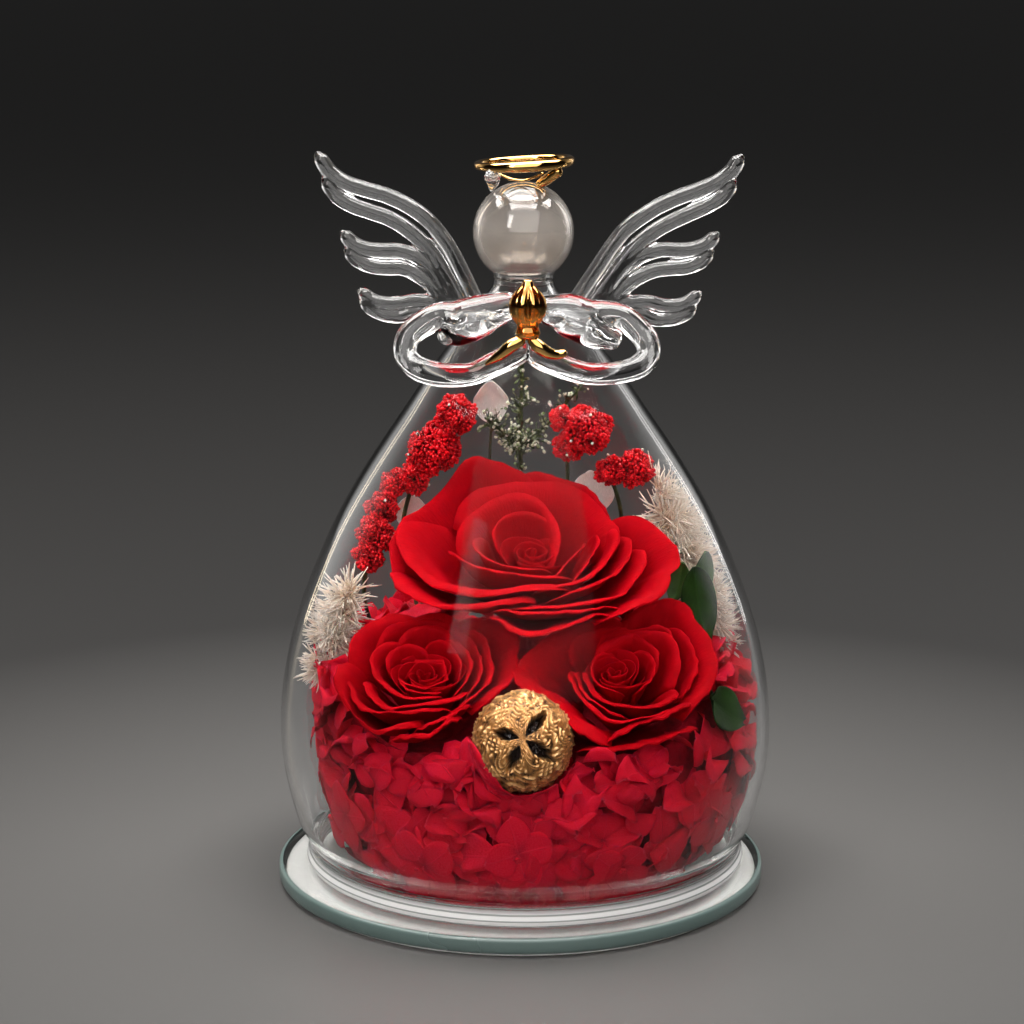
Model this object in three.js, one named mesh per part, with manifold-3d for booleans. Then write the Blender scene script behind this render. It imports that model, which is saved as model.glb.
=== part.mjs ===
// Preserved roses under a clear glass angel dome, in millimetres.
// +Z is up, the front faces -Y and the origin is the middle of the underside.
import * as THREE from "three";
import { mergeVertices } from "three/addons/utils/BufferGeometryUtils.js";
import Module from "manifold-3d";

const wasm = await Module();
wasm.setup();

// Base plate and dome
const PLATE_RADIUS = 60;
const PLATE_BOTTOM = 1.0;
const PLATE_TOP = 4.8;
const PLATE_BEVEL = 0.4;
const BACKING_RADIUS = 57.5;
const BACKING_THICKNESS = 0.7;
const GAP = 0.3;
const DOME_X = 1.1;
const DOME_FOOT = PLATE_TOP + GAP;
const DOME_TOP = 147.6;
const WALL = 1.6;

// Head and halo
const HEAD_RADIUS = 12.05;
const HEAD_CENTRE = new THREE.Vector3(0.6, 0, 160.1);
const HEAD_WALL = 1.5;
const HALO_RADIUS = 10.9;
const HALO_ROD = 0.95;
const HALO_CENTRE = new THREE.Vector3(0.7, 0, 176.5);
const HALO_ROLL = -3;

// Flowers
const POD_RADIUS = 12.2;
const POD_CENTRE = new THREE.Vector3(0.4, -44.4, 47.4);
const PETAL_THICKNESS = 0.6;

const group = new THREE.Group();
const degrees = THREE.MathUtils.degToRad;
const lerp = THREE.MathUtils.lerp;
const point = (x, y, z) => new THREE.Vector3(x, y, z);

const materials = {
  glass: { color: 0xdfe9e8, roughness: 0.02, metalness: 0, transparent: true, opacity: 0.3 },
  edge: { color: 0x9fb5ad, roughness: 0.05, metalness: 0, transparent: true, opacity: 0.6 },
  white: { color: 0xeceae6, roughness: 0.6, metalness: 0 },
  gilt: { color: 0xc8862a, roughness: 0.15, metalness: 1 },
  red: { color: 0xb00512, roughness: 0.8, metalness: 0 },
  dark_red: { color: 0x8c0413, roughness: 0.8, metalness: 0 },
  berry: { color: 0xd0101a, roughness: 0.7, metalness: 0 },
  gold_pod: { color: 0xb98a3e, roughness: 0.4, metalness: 0.9 },
  cream: { color: 0xe9dcc8, roughness: 0.8, metalness: 0 },
  leaf: { color: 0x12350f, roughness: 0.35, metalness: 0 },
  sprig: { color: 0x3c4a22, roughness: 0.7, metalness: 0 },
};

function bump(value, centre, width) {
  const t = (value - centre) / width;
  return Math.exp(-t * t);
}

// Signed difference of two angles in degrees, from -180 to 180
function turn(a, b) {
  return ((((a - b) % 360) + 540) % 360) - 180;
}

function addMesh(name, geometry, material) {
  const mesh = new THREE.Mesh(geometry, new THREE.MeshStandardMaterial(materials[material]));
  mesh.name = name;
  group.add(mesh);
  return mesh;
}

// Signed volume, to turn a solid's faces outwards
function signedVolume(points, faces) {
  let sum = 0;
  for (let i = 0; i < faces.length; i += 3) {
    const [a, b, c] = [points[faces[i]], points[faces[i + 1]], points[faces[i + 2]]];
    sum += a.dot(b.clone().cross(c));
  }
  return sum / 6;
}

function geometryFrom(points, faces) {
  if (signedVolume(points, faces) < 0) {
    faces.reverse();
  }
  const geometry = new THREE.BufferGeometry();
  geometry.setAttribute("position", new THREE.Float32BufferAttribute(points.flatMap((p) => [p.x, p.y, p.z]), 3));
  geometry.setIndex(faces);
  geometry.computeVertexNormals();
  return geometry;
}

function weld(geometry) {
  const bare = geometry.clone();
  bare.deleteAttribute("normal");
  bare.deleteAttribute("uv");
  return mergeVertices(bare, 1e-4);
}

function solidOf(geometry) {
  const bare = weld(geometry);
  const vertProperties = new Float32Array(bare.attributes.position.array);
  const triVerts = new Uint32Array(bare.index.array);
  return new wasm.Manifold(new wasm.Mesh({ numProp: 3, vertProperties, triVerts }));
}

function geometryOf(solid) {
  const mesh = solid.getMesh();
  const geometry = new THREE.BufferGeometry();
  geometry.setAttribute("position", new THREE.BufferAttribute(mesh.vertProperties, 3));
  geometry.setIndex(new THREE.BufferAttribute(mesh.triVerts, 1));
  geometry.computeVertexNormals();
  return geometry;
}

function joined(geometries) {
  return geometryOf(geometries.map(solidOf).reduce((sum, next) => sum.add(next)));
}

function cut(geometry, tools) {
  return geometryOf(tools.map(solidOf).reduce((rest, tool) => rest.subtract(tool), solidOf(geometry)));
}

// Closed solid through rings of equal point counts, with a fan at each end
function loft(rings) {
  const count = rings[0].length;
  const points = rings.flat();
  const faces = [];
  for (let i = 0; i < rings.length - 1; i++) {
    for (let j = 0; j < count; j++) {
      const a = i * count + j;
      const b = i * count + ((j + 1) % count);
      faces.push(a, b, b + count, a, b + count, a + count);
    }
  }
  const middle = (ring) => ring.reduce((sum, p) => sum.add(p), point(0, 0, 0)).divideScalar(count);
  const last = (rings.length - 1) * count;
  points.push(middle(rings[0]), middle(rings[rings.length - 1]));
  for (let j = 0; j < count; j++) {
    const next = (j + 1) % count;
    faces.push(points.length - 2, next, j);
    faces.push(points.length - 1, last + j, last + next);
  }
  return geometryFrom(points, faces);
}

// Rod along a smooth curve through knots of [x, y, z, radius]
function rod(knots, steps, sides, flatten = 1) {
  const curve = new THREE.CatmullRomCurve3(knots.map((k) => point(k[0], k[1], k[2])), false, "centripetal");
  const radii = new THREE.SplineCurve(knots.map((k, i) => new THREE.Vector2(i, k[3])));
  const rings = [];
  let side = null;
  for (let i = 0; i <= steps; i++) {
    const t = i / steps;
    const tangent = curve.getTangent(t);
    side = side ?? (Math.abs(tangent.z) > 0.9 ? point(1, 0, 0) : point(0, 0, 1));
    const across = side.clone().addScaledVector(tangent, -side.dot(tangent)).normalize();
    const up = tangent.clone().cross(across);
    side = across;
    const radius = radii.getPoint(t).y;
    const centre = curve.getPoint(t);
    rings.push(Array.from({ length: sides }, (_, j) => {
      const angle = (j / sides) * 2 * Math.PI;
      return centre.clone()
        .addScaledVector(across, radius * Math.cos(angle))
        .addScaledVector(up, radius * flatten * Math.sin(angle));
    }));
  }
  return loft(rings);
}

// Lathe about +Z from [radius, height] pairs
function lathe(profile, segments) {
  const geometry = new THREE.LatheGeometry(profile.map(([r, z]) => new THREE.Vector2(r, z)), segments);
  return weld(geometry.rotateX(Math.PI / 2));
}

// Thin curved shell from a grid of centre points, with its own thickness
function shell(grid, thickness) {
  const rows = grid.length;
  const columns = grid[0].length;
  const points = [];
  for (const side of [0.5, -0.5]) {
    for (let i = 0; i < rows; i++) {
      for (let j = 0; j < columns; j++) {
        const along = grid[Math.min(i + 1, rows - 1)][j].clone().sub(grid[Math.max(i - 1, 0)][j]);
        const across = grid[i][Math.min(j + 1, columns - 1)].clone().sub(grid[i][Math.max(j - 1, 0)]);
        const normal = across.cross(along).normalize();
        points.push(grid[i][j].clone().addScaledVector(normal, side * thickness));
      }
    }
  }
  const back = rows * columns;
  const faces = [];
  const quad = (a, b, c, d) => faces.push(a, b, c, a, c, d);
  for (let i = 0; i < rows - 1; i++) {
    for (let j = 0; j < columns - 1; j++) {
      const a = i * columns + j;
      quad(a, a + 1, a + columns + 1, a + columns);
      quad(back + a, back + a + columns, back + a + columns + 1, back + a + 1);
    }
  }
  for (let j = 0; j < columns - 1; j++) {
    const top = (rows - 1) * columns + j;
    quad(j, back + j, back + j + 1, j + 1);
    quad(top, top + 1, back + top + 1, back + top);
  }
  for (let i = 0; i < rows - 1; i++) {
    const left = i * columns;
    const right = left + columns - 1;
    quad(left, left + columns, back + left + columns, back + left);
    quad(right, back + right, back + right + columns, right + columns);
  }
  return geometryFrom(points, faces);
}

// Base: clear plate over a white backing disc
function buildBase() {
  const r = PLATE_RADIUS;
  addMesh("backing_disc", lathe([
    [0, 0], [BACKING_RADIUS, 0], [BACKING_RADIUS, BACKING_THICKNESS], [0, BACKING_THICKNESS],
  ], 24), "white");
  addMesh("base_plate", lathe([
    [0, PLATE_BOTTOM], [r - PLATE_BEVEL, PLATE_BOTTOM], [r, PLATE_BOTTOM + PLATE_BEVEL],
    [r, PLATE_TOP - PLATE_BEVEL], [r - PLATE_BEVEL, PLATE_TOP], [0, PLATE_TOP],
  ], 32), "edge");
}

// Blown dome: rolled foot, bell body and a narrow neck, open at both ends
const DOME_OUTSIDE = [
  [53.1, DOME_FOOT], [54.0, 6.4], [53.3, 8.2], [53.3, 11.2], [56.3, 16], [59.0, 27], [60.2, 40],
  [58.1, 57], [53.1, 74], [44.8, 93], [34.4, 110], [23.5, 126], [13.1, 140], [7.6, 146.2], [6.7, DOME_TOP],
];
const DOME_INSIDE = [11.2, 27, 40, 57, 74, 93, 110, 140, DOME_TOP];

function buildDome() {
  const inside = DOME_OUTSIDE.filter(([, z]) => DOME_INSIDE.includes(z)).map(([r, z]) => [r - WALL, z]).reverse();
  inside[0] = [4.9, DOME_TOP];
  const foot = [[53.3 - WALL, 11.2], [51.5, DOME_FOOT]];
  const profile = [...DOME_OUTSIDE, ...inside.slice(0, -1), ...foot, DOME_OUTSIDE[0]];
  const dome = addMesh("glass_dome", lathe(profile, 24), "glass");
  dome.position.x = DOME_X;
}

// Ball head: thin hollow ball on a short neck, open below
function buildHead() {
  const z = HEAD_CENTRE.z;
  const inner = HEAD_RADIUS - HEAD_WALL;
  const arc = (radius, from, to, steps) => Array.from({ length: steps + 1 }, (_, i) => {
    const angle = degrees(lerp(from, to, i / steps));
    return [radius * Math.cos(angle), z + radius * Math.sin(angle)];
  });
  const bottom = DOME_TOP + GAP;
  const inside = arc(inner, 90, -72, 5);
  inside[0][0] = 0;
  const outside = arc(HEAD_RADIUS, -57, 90, 7);
  outside[outside.length - 1][0] = 0;
  const profile = [...inside, [2.6, bottom], [6.7, bottom], ...outside];
  const head = addMesh("head", lathe(profile, 14), "glass");
  head.position.set(HEAD_CENTRE.x, HEAD_CENTRE.y, 0);
}

// Halo ring, its two posts and the thin thread between them
function buildHalo() {
  const ring = addMesh("halo", weld(new THREE.TorusGeometry(HALO_RADIUS, HALO_ROD, 5, 20)), "gilt");
  ring.position.copy(HALO_CENTRE);
  ring.rotation.y = degrees(HALO_ROLL);
  addMesh("halo_post_left", rod([
    [-6.9, -1.9, 170.7, 0.7], [-6.6, -5.0, 172.6, 1.5], [-6.7, -7.7, 174.1, 1.9], [-6.7, -7.9, 174.6, 1.6],
  ], 5, 6), "glass");
  addMesh("halo_post_right", rod([
    [4.6, -3.6, 171.85, 1.1], [6.6, -5.2, 173.4, 1.3], [8.6, -6.6, 175.0, 1.3],
  ], 4, 6), "gilt");
  addMesh("halo_thread", rod([
    [-5.1, -4.2, 174.2, 0.3], [-2.6, -3.9, 173.1, 0.3], [0.6, -3.9, 172.7, 0.3], [3.2, -5.3, 173.6, 0.3],
    [5.0, -6.6, 174.6, 0.3],
  ], 10, 4), "gilt");
}

// Wings: three double feathers each, as fused rods that meet at the root.
// Each rod is a list of [x, z] from its tip to its root.
const LEFT_RODS = [
  [[-48.2, 176.9], [-45.9, 173.5], [-42.5, 171.1], [-37.6, 169.4], [-32.2, 167.9], [-27, 165.5], [-22.7, 162.5],
    [-19.4, 158.8], [-16.6, 154.6], [-10.9, 143]],
  [[-46.7, 171], [-44.5, 168], [-40.8, 165.6], [-36.5, 164.1], [-32, 162.6], [-27.7, 160.2], [-24.1, 157.2],
    [-21.1, 153.9], [-18.7, 150.2], [-13.8, 141.4]],
  [[-42.5, 158.4], [-40.3, 156.2], [-37.2, 155], [-33.6, 154.7], [-29.3, 154.7], [-25.7, 153.5], [-22.7, 151.4],
    [-20.3, 148.7], [-15.6, 140.6]],
  [[-41.5, 154.2], [-39.4, 152.3], [-36.1, 150.9], [-32.1, 150.5], [-28.5, 150.5], [-25.2, 149], [-22.2, 146.9],
    [-17, 140.4]],
  [[-38.3, 144.4], [-35.9, 142.5], [-32.3, 141.8], [-28.4, 142.1], [-25.1, 142.7], [-17.5, 141.6]],
  [[-37.9, 142], [-35.6, 140.2], [-32.6, 139], [-29.3, 138.8], [-26.6, 139.6], [-18, 140.6]],
];
const RIGHT_RODS = [
  [[52.5, 176.4], [50.4, 173.4], [47.1, 171], [42.9, 169.2], [38.1, 167.5], [33.5, 165.5], [29, 162.8],
    [25.1, 159.8], [22, 155.9], [19, 151.4], [13.2, 142.8]],
  [[50.8, 170.5], [48.9, 168], [45.9, 165.9], [42.3, 164.2], [38.1, 162.4], [33.8, 160.3], [30.2, 157.9],
    [26.9, 154.9], [24.2, 151.6], [16.2, 141]],
  [[47, 158], [44.9, 156.1], [42.3, 155.1], [38.3, 154.7], [34.4, 154.9], [30.8, 154.1], [27.5, 152.5],
    [24.8, 150.1], [18, 140.6]],
  [[45.5, 153.9], [43.4, 151.8], [40.1, 150.6], [36.2, 150.3], [32.9, 150], [29.6, 148.8], [26.6, 147],
    [19.5, 140.4]],
  [[42.8, 143.8], [40.6, 142], [37.6, 141.2], [34.3, 141.4], [31, 142.3], [20, 141.6]],
  [[41.6, 140.5], [39.1, 138.7], [35.8, 137.9], [32.5, 138], [29.5, 139.2], [20.5, 140.6]],
];
const FEATHER_RADIUS = 1.95;

function wingRod(line, index) {
  const radius = index < 2 ? FEATHER_RADIUS : index < 4 ? 1.85 : 1.75;
  const [[x0, z0], [x1, z1]] = line;
  const tip = [x0 + (x0 - x1) * 0.35, z0 + (z0 - z1) * 0.35];
  const knots = [tip, ...line].map(([x, z], i) => {
    const size = i === 0 ? 0.4 : i === 1 ? 0.85 : 1;
    return [x, 5.2 + 0.1 * Math.abs(x), z, radius * size];
  });
  return rod(knots, line.length > 8 ? 7 : 5, 5);
}

function buildWings() {
  addMesh("wing_left", joined(LEFT_RODS.map(wingRod)), "glass");
  addMesh("wing_right", joined(RIGHT_RODS.map(wingRod)), "glass");
}

// Arms: thick sleeves at the shoulders that loop out and come back in front
const LEFT_ARM = [
  [-3.4, -16.2, 144.6, 3.6], [-9.4, -15.6, 142.6, 4.7], [-14.2, -15.4, 141.4, 4.7], [-18.8, -15.3, 142, 3.5],
  [-23.1, -16, 140.3, 3.1], [-26.4, -17, 137.5, 2.9], [-27.1, -18.6, 134.4, 2.8], [-25.6, -20.6, 131.7, 2.8],
  [-22.2, -22.5, 130.3, 2.9], [-18.5, -24.5, 129.8, 2.9], [-14.9, -26, 129.9, 2.8], [-11.4, -27.4, 130.4, 2.7],
  [-7.9, -28.4, 132, 2.8], [-4.4, -29.2, 133.8, 2.9], [-1.6, -29.8, 135.3, 2.9], [-0.1, -30, 136.2, 2.8],
];
const RIGHT_ARM = [
  [6.4, -16.2, 143.6, 3.6], [10.6, -15.6, 142.9, 4.7], [14.9, -15.4, 141.8, 4.7], [19, -15.3, 142.2, 3.7],
  [23.2, -16, 142, 3.2], [26.9, -17, 139.6, 3.0], [29.5, -18.6, 136.3, 2.9], [29.6, -20.6, 133.4, 2.8],
  [27.1, -22.5, 131.3, 2.8], [23.3, -24.5, 130.4, 2.7], [19, -26, 130.2, 2.6], [14.9, -27.4, 130.6, 2.6],
  [11.1, -28.4, 131.7, 2.7], [7.3, -29.2, 133.3, 2.8], [4, -29.8, 134.9, 2.8], [3.1, -30, 135.6, 2.7],
];

function buildArms() {
  addMesh("arm_left", rod(LEFT_ARM, 16, 7), "glass");
  addMesh("arm_right", rod(RIGHT_ARM, 16, 7), "glass");
}

// Gilt praying hands with a knob at the wrist, and the two sleeve tails
function buildHands() {
  const profile = [
    [0, 139.6], [2.3, 139.9], [2.8, 141.2], [2.4, 142.4], [4.0, 145.2], [4.3, 147.2], [3.2, 150], [1.2, 152.4],
    [0, 153],
  ];
  const hands = lathe(profile, 10);
  hands.scale(1, 0.72, 1);
  const mesh = addMesh("praying_hands", hands, "gilt");
  mesh.position.set(1.5, -34.2, 0);
  addMesh("sleeve_tail_left", rod([
    [-0.4, -33.8, 139.0, 1.1], [-2.2, -33.9, 138, 1.3], [-4.4, -33.6, 136.1, 1.2], [-6.4, -33, 134.7, 0.9],
    [-8, -32.6, 133.6, 0.4],
  ], 6, 5), "gilt");
  addMesh("sleeve_tail_right", rod([
    [2.8, -33.8, 138.9, 1.1], [4.1, -33.9, 137.7, 1.3], [6, -33.6, 136.4, 1.2], [8, -33, 135.8, 1.1],
    [9.6, -32.6, 136, 0.9],
  ], 6, 5), "gilt");
}

// Roses: cupped petals nested about a tilted axis, each a shell of its own.
// Local x is right, y is back and up, z is the flower's axis from its rim plane.
const ROSES = [
  {
    name: "rose_top", centre: point(3, -8, 85.5), tilt: 26, petals: 8, rim: 35.5, inner: 9, base: [3, 10],
    depth: [-9.5, -15.2], angles: [100, 230, -10, 45, 165, -95, 162, -12],
    dents: [[137, 0.12, 18], [50, 0.22, 24], [-135, 0.08, 22], [-50, 0.06, 22]], lift: [106, 4, 24],
  },
  {
    name: "rose_left", centre: point(-22.4, -30, 61), tilt: 31, petals: 6, rim: 21.6, inner: 7, base: [2.6, 7.6],
    depth: [-8, -15.5], angles: [-110, 20, 150, -70, 35, -160],
    dents: [[-42, 0.3, 26], [75, 0.2, 30], [-155, 0.19, 24]], lift: [140, 1, 40],
  },
  {
    name: "rose_right", centre: point(22.2, -30, 61.4), tilt: 32, petals: 6, rim: 22.6, inner: 7, base: [2.6, 7.6],
    depth: [-8, -15.5], angles: [-10, -140, 100, -50, -150, 35],
    dents: [[-139, 0.32, 26], [100, 0.42, 38], [-20, 0.04, 24]], lift: [40, 1, 30],
  },
];

function place(rose, p) {
  return p.applyAxisAngle(point(1, 0, 0), degrees(rose.tilt)).add(rose.centre);
}

// One point of petal k: across from -1 to 1, along from 0 at the base to 1 at the lip
function petalPoint(rose, k, across, along) {
  const s = k / (rose.petals - 1);
  const width = lerp(78, 72, s) * (0.65 + 0.35 * Math.sin(along * 2.2));
  const angle = rose.angles[k] + across * width;
  const dent = rose.dents.reduce((sum, [at, amount, spread]) => sum + amount * bump(turn(angle, at), 0, spread), 0);
  const [liftAt, liftBy, liftSpread] = rose.lift;
  const lip = along * (1 - 0.16 * across * across);
  const reach = Math.sin(lip * Math.PI / 2);
  const rise = 1 - Math.cos(lip * Math.PI / 2);
  const rimRadius = lerp(rose.inner, rose.rim, Math.pow(s, 0.8)) * (1 - dent * s);
  const rimHeight = lerp(-3.5, 0, s) + 3 * Math.sin(s * Math.PI) + liftBy * s * bump(turn(angle, liftAt), 0, liftSpread);
  const radius = lerp(lerp(...rose.base, s), rimRadius, reach);
  const height = lerp(lerp(...rose.depth, s), rimHeight, 0.7 * lip + 0.3 * rise);
  const a = degrees(angle);
  return place(rose, point(radius * Math.cos(a), radius * Math.sin(a), height));
}

function buildPetal(rose, k) {
  const grid = [0, 0.36, 0.72, 1].map((along) => [-1, -0.5, 0, 0.5, 1].map((across) => petalPoint(rose, k, across, along)));
  return shell(grid, PETAL_THICKNESS);
}

function buildHeart(rose) {
  const [top, low] = rose.depth;
  const [inner, outer] = rose.base;
  const bud = rose.inner * 0.55;
  const profile = [
    [0, low - 2.5], [outer * 0.5, low - 2.2], [outer - 1.2, low - 0.2], [inner - 1.2, top - 0.4],
    [bud, top * 0.62], [bud * 0.8, -5], [0, -4.2],
  ];
  const heart = lathe(profile, 8);
  return heart.rotateX(degrees(rose.tilt)).translate(...rose.centre.toArray());
}

function buildRoses() {
  for (const rose of ROSES) {
    addMesh(`${rose.name}_heart`, buildHeart(rose), "dark_red");
    for (let k = 0; k < rose.petals; k++) {
      addMesh(`${rose.name}_petal_${k + 1}`, buildPetal(rose, k), "red");
    }
  }
}

// Gumnut pod: gold-sprayed ball with four slits on the side that faces the viewer
const POD_ELEVATION = 20;
const POD_SLITS = [[55, 1.6, 7.8, 1.9], [161, 1.6, 7, 1.8], [-34, 1.4, 8.6, 2], [-113, 2.4, 8.2, 1.9]];

function buildPod() {
  const ball = new THREE.SphereGeometry(POD_RADIUS, 12, 8);
  const slits = POD_SLITS.map(([angle, from, to, halfWidth]) => {
    const slit = new THREE.SphereGeometry(1, 6, 4);
    slit.scale((to - from) / 2 + 0.5, halfWidth, 4.5);
    slit.translate((from + to) / 2, 0, POD_RADIUS - 1.6);
    return slit.rotateZ(degrees(angle));
  });
  const pod = cut(ball, slits);
  pod.rotateX(degrees(90 - POD_ELEVATION));
  pod.translate(...POD_CENTRE.toArray());
  addMesh("gumnut_pod", pod, "gold_pod");
}

// Hydrangea bed: a mound of pressed petals, higher at the back.
// Rings of [radius, height at the front, extra height at the back, extra at the sides, bump].
const BED_RINGS = [
  [43.5, 5.4, 0, 0, 0], [48, 12, 0, 0, 0.8], [51.6, 22, 0, 0, 0.9], [53.6, 32, 0, 2, 0.9], [52.6, 38, 3, 7, 0.9],
  [47, 43, 7, 8, 0.6], [39, 46, 10, 6, 0.5], [26, 50, 13, 2, 0], [12, 61, 6, 0, 0], [4, 66, 0, 0, 0],
];
const BED_SEGMENTS = 18;

function bedHeight([, height, back, side], angle) {
  return height + back * (1 + Math.sin(angle)) / 2 + side * Math.cos(angle) ** 2;
}

function bedTop(x, y) {
  const radius = Math.hypot(x, y);
  const angle = Math.atan2(y, x);
  const slope = BED_RINGS.slice(4);
  for (let i = 0; i < slope.length - 1; i++) {
    const [outer, inner] = [slope[i], slope[i + 1]];
    if (radius >= inner[0]) {
      const t = (outer[0] - radius) / (outer[0] - inner[0]);
      return lerp(bedHeight(outer, angle), bedHeight(inner, angle), t);
    }
  }
  return 66;
}

// Bowl that stays clear of a rose from its lip to its base
function roseClearance(rose) {
  const clear = 0.8;
  const [, low] = rose.depth;
  const [, base] = rose.base;
  const bowl = [0.2, 0.45, 0.7, 0.9, 1].map((lip) => {
    const reach = Math.sin(lip * Math.PI / 2);
    const rise = 1 - Math.cos(lip * Math.PI / 2);
    return [lerp(base, rose.rim, reach) + clear, lerp(low, 0, 0.7 * lip + 0.3 * rise) - clear];
  });
  const profile = [[0, low - 2.9], [base + clear, low - 1.4], ...bowl, [rose.rim + clear, 20], [0, 20]];
  return lathe(profile, 14).rotateX(degrees(rose.tilt)).translate(...rose.centre.toArray());
}

function buildBed() {
  const rings = BED_RINGS.map((ring, i) => (
    Array.from({ length: BED_SEGMENTS }, (_, j) => {
      const angle = (j / BED_SEGMENTS) * 2 * Math.PI;
      const rough = (i + j) % 2 ? ring[4] : -ring[4];
      const radius = ring[0] + rough;
      return point(radius * Math.cos(angle) + DOME_X, radius * Math.sin(angle), bedHeight(ring, angle));
    })
  ));
  const hollow = new THREE.SphereGeometry(POD_RADIUS + 0.6, 12, 9).translate(...POD_CENTRE.toArray());
  addMesh("hydrangea_bed", cut(loft(rings), [hollow, ...ROSES.map(roseClearance)]), "dark_red");
}

// Four-petalled hydrangea florets that lie over the front of the bed: [direction, height, size, turn]
const FLORETS = [[-148, 24, 9, 10], [-119, 17.5, 9.5, 40], [-92, 22.5, 9.5, 15], [-64, 17.5, 9.5, 50], [-34, 24, 9, 30]];
const FLORET_POINTS = 12;

function bedWall(height) {
  const wall = BED_RINGS.slice(0, 5);
  for (let i = 0; i < wall.length - 1; i++) {
    if (height <= wall[i + 1][1]) {
      return lerp(wall[i][0], wall[i + 1][0], (height - wall[i][1]) / (wall[i + 1][1] - wall[i][1]));
    }
  }
  return wall[wall.length - 1][0];
}

function floretRing(floret, size, lift) {
  const [direction, height, , twist] = floret;
  return Array.from({ length: FLORET_POINTS }, (_, j) => {
    const angle = ((j + 0.5) / FLORET_POINTS) * 2 * Math.PI;
    const lobes = 0.8 + 0.32 * Math.cos(4 * angle);
    const aside = size * lobes * Math.cos(angle + degrees(twist));
    const up = size * lobes * Math.sin(angle + degrees(twist));
    const radius = bedWall(height + up) + lift;
    const a = degrees(direction) + aside / radius;
    return point(radius * Math.cos(a) + DOME_X, radius * Math.sin(a), height + up);
  });
}

function buildFlorets() {
  FLORETS.forEach((floret, i) => {
    const size = floret[2];
    const rings = [
      floretRing(floret, size * 0.3, 2.1), floretRing(floret, size, 2.7),
      floretRing(floret, size, 2.0), floretRing(floret, size * 0.3, 1.3),
    ];
    addMesh(`hydrangea_floret_${i + 1}`, loft(rings), "red");
  });
}

// Rice-flower sprays: balls of tiny buds on one stem that reaches the bed
const SPRAYS = {
  spray_left_upper: {
    balls: [[-16.1, 10, 114.1, 5.2], [-21.6, 11.5, 105.4, 6.6], [-26.6, 11, 98, 4]],
    stem: [[-27, 11, 97], [-29.5, 14, 84], [-27, 17, 70]],
  },
  spray_left_lower: {
    balls: [[-33.6, 5, 94.6, 3.8], [-35.3, 2.5, 88, 4.9], [-37.2, 0.5, 81.4, 4.2]],
    stem: [[-37.2, 0.5, 81], [-38.5, 3, 70], [-36, 6, 60]],
  },
  spray_right_upper: {
    balls: [[16.6, 10.5, 110.3, 6], [10, 12, 112.8, 3.2], [11.8, 13.2, 105.6, 3.8]],
    stem: [[11.4, 13.6, 106.4], [12, 25.5, 92], [11, 27, 76]],
  },
  spray_right_lower: {
    balls: [[28.1, 8.5, 101, 5], [22.2, 12.5, 99.6, 3.9]],
    stem: [[22.2, 12.5, 99.6], [25.5, 19.5, 86], [24.5, 21.5, 74]],
  },
};

function onBed([x, y], towards = 0.94) {
  return [x * towards, y * towards, bedTop(x * towards, y * towards) + 0.8];
}

function stemRod(knots, radius, steps = 3) {
  const last = knots[knots.length - 1];
  return rod([...knots, onBed(last)].map((k) => [k[0], k[1], k[2], radius]), steps, 4);
}

function buildSprays() {
  for (const [name, { balls, stem }] of Object.entries(SPRAYS)) {
    const solids = balls.map(([x, y, z, r]) => new THREE.SphereGeometry(r, 6, 4).translate(x, y, z));
    addMesh(name, joined([...solids, stemRod(stem, 0.7)]), "berry");
  }
}

// Bristly cream tufts: burrs of stiff fibres along a stem
const TUFTS = {
  tuft_left: {
    burrs: [[-39.8, -9.5, 75, 7.3], [-45.6, -8, 63, 6.2]],
    stem: [[-39.8, -9.5, 75], [-44, -8, 66], [-46, -6, 58]],
  },
  tuft_right: {
    burrs: [[36.9, 8, 91.4, 5.4], [43.8, 5.5, 78.4, 5.8], [48.6, 4.5, 66.4, 5]],
    stem: [[37.6, 8, 90], [44.2, 6, 77], [48, 5, 67], [46.5, 5, 60]],
  },
};

function burr([x, y, z, r]) {
  const columns = 8;
  const rings = [];
  for (let i = 1; i < 6; i++) {
    const polar = (i / 6) * Math.PI;
    rings.push(Array.from({ length: columns }, (_, j) => {
      const azimuth = (j / columns) * 2 * Math.PI;
      const reach = (i + j) % 2 ? r : r * 0.72;
      return point(
        x + reach * Math.sin(polar) * Math.cos(azimuth),
        y + reach * Math.sin(polar) * Math.sin(azimuth),
        z + reach * Math.cos(polar),
      );
    }));
  }
  return loft(rings);
}

function buildTufts() {
  for (const [name, { burrs, stem }] of Object.entries(TUFTS)) {
    addMesh(name, joined([...burrs.map(burr), stemRod(stem, 0.8)]), "cream");
  }
}

// Flat blade from its base to its tip, cupped along the middle
function blade(base, tip, width, facing, fold, thickness) {
  const from = point(...base);
  const along = point(...tip).sub(from);
  const normal = point(...facing).normalize();
  const side = along.clone().cross(normal).normalize();
  const grid = [0, 0.25, 0.7, 1].map((t) => {
    const half = (width / 2) * Math.max(0.12, Math.pow(Math.sin(Math.PI * Math.pow(t, 0.85)), 0.7));
    return [-1, 0, 1].map((across) => from.clone()
      .addScaledVector(along, t)
      .addScaledVector(side, across * half)
      .addScaledVector(normal, fold * across * across - fold * Math.sin(Math.PI * t)));
  });
  return shell(grid, thickness);
}

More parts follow.
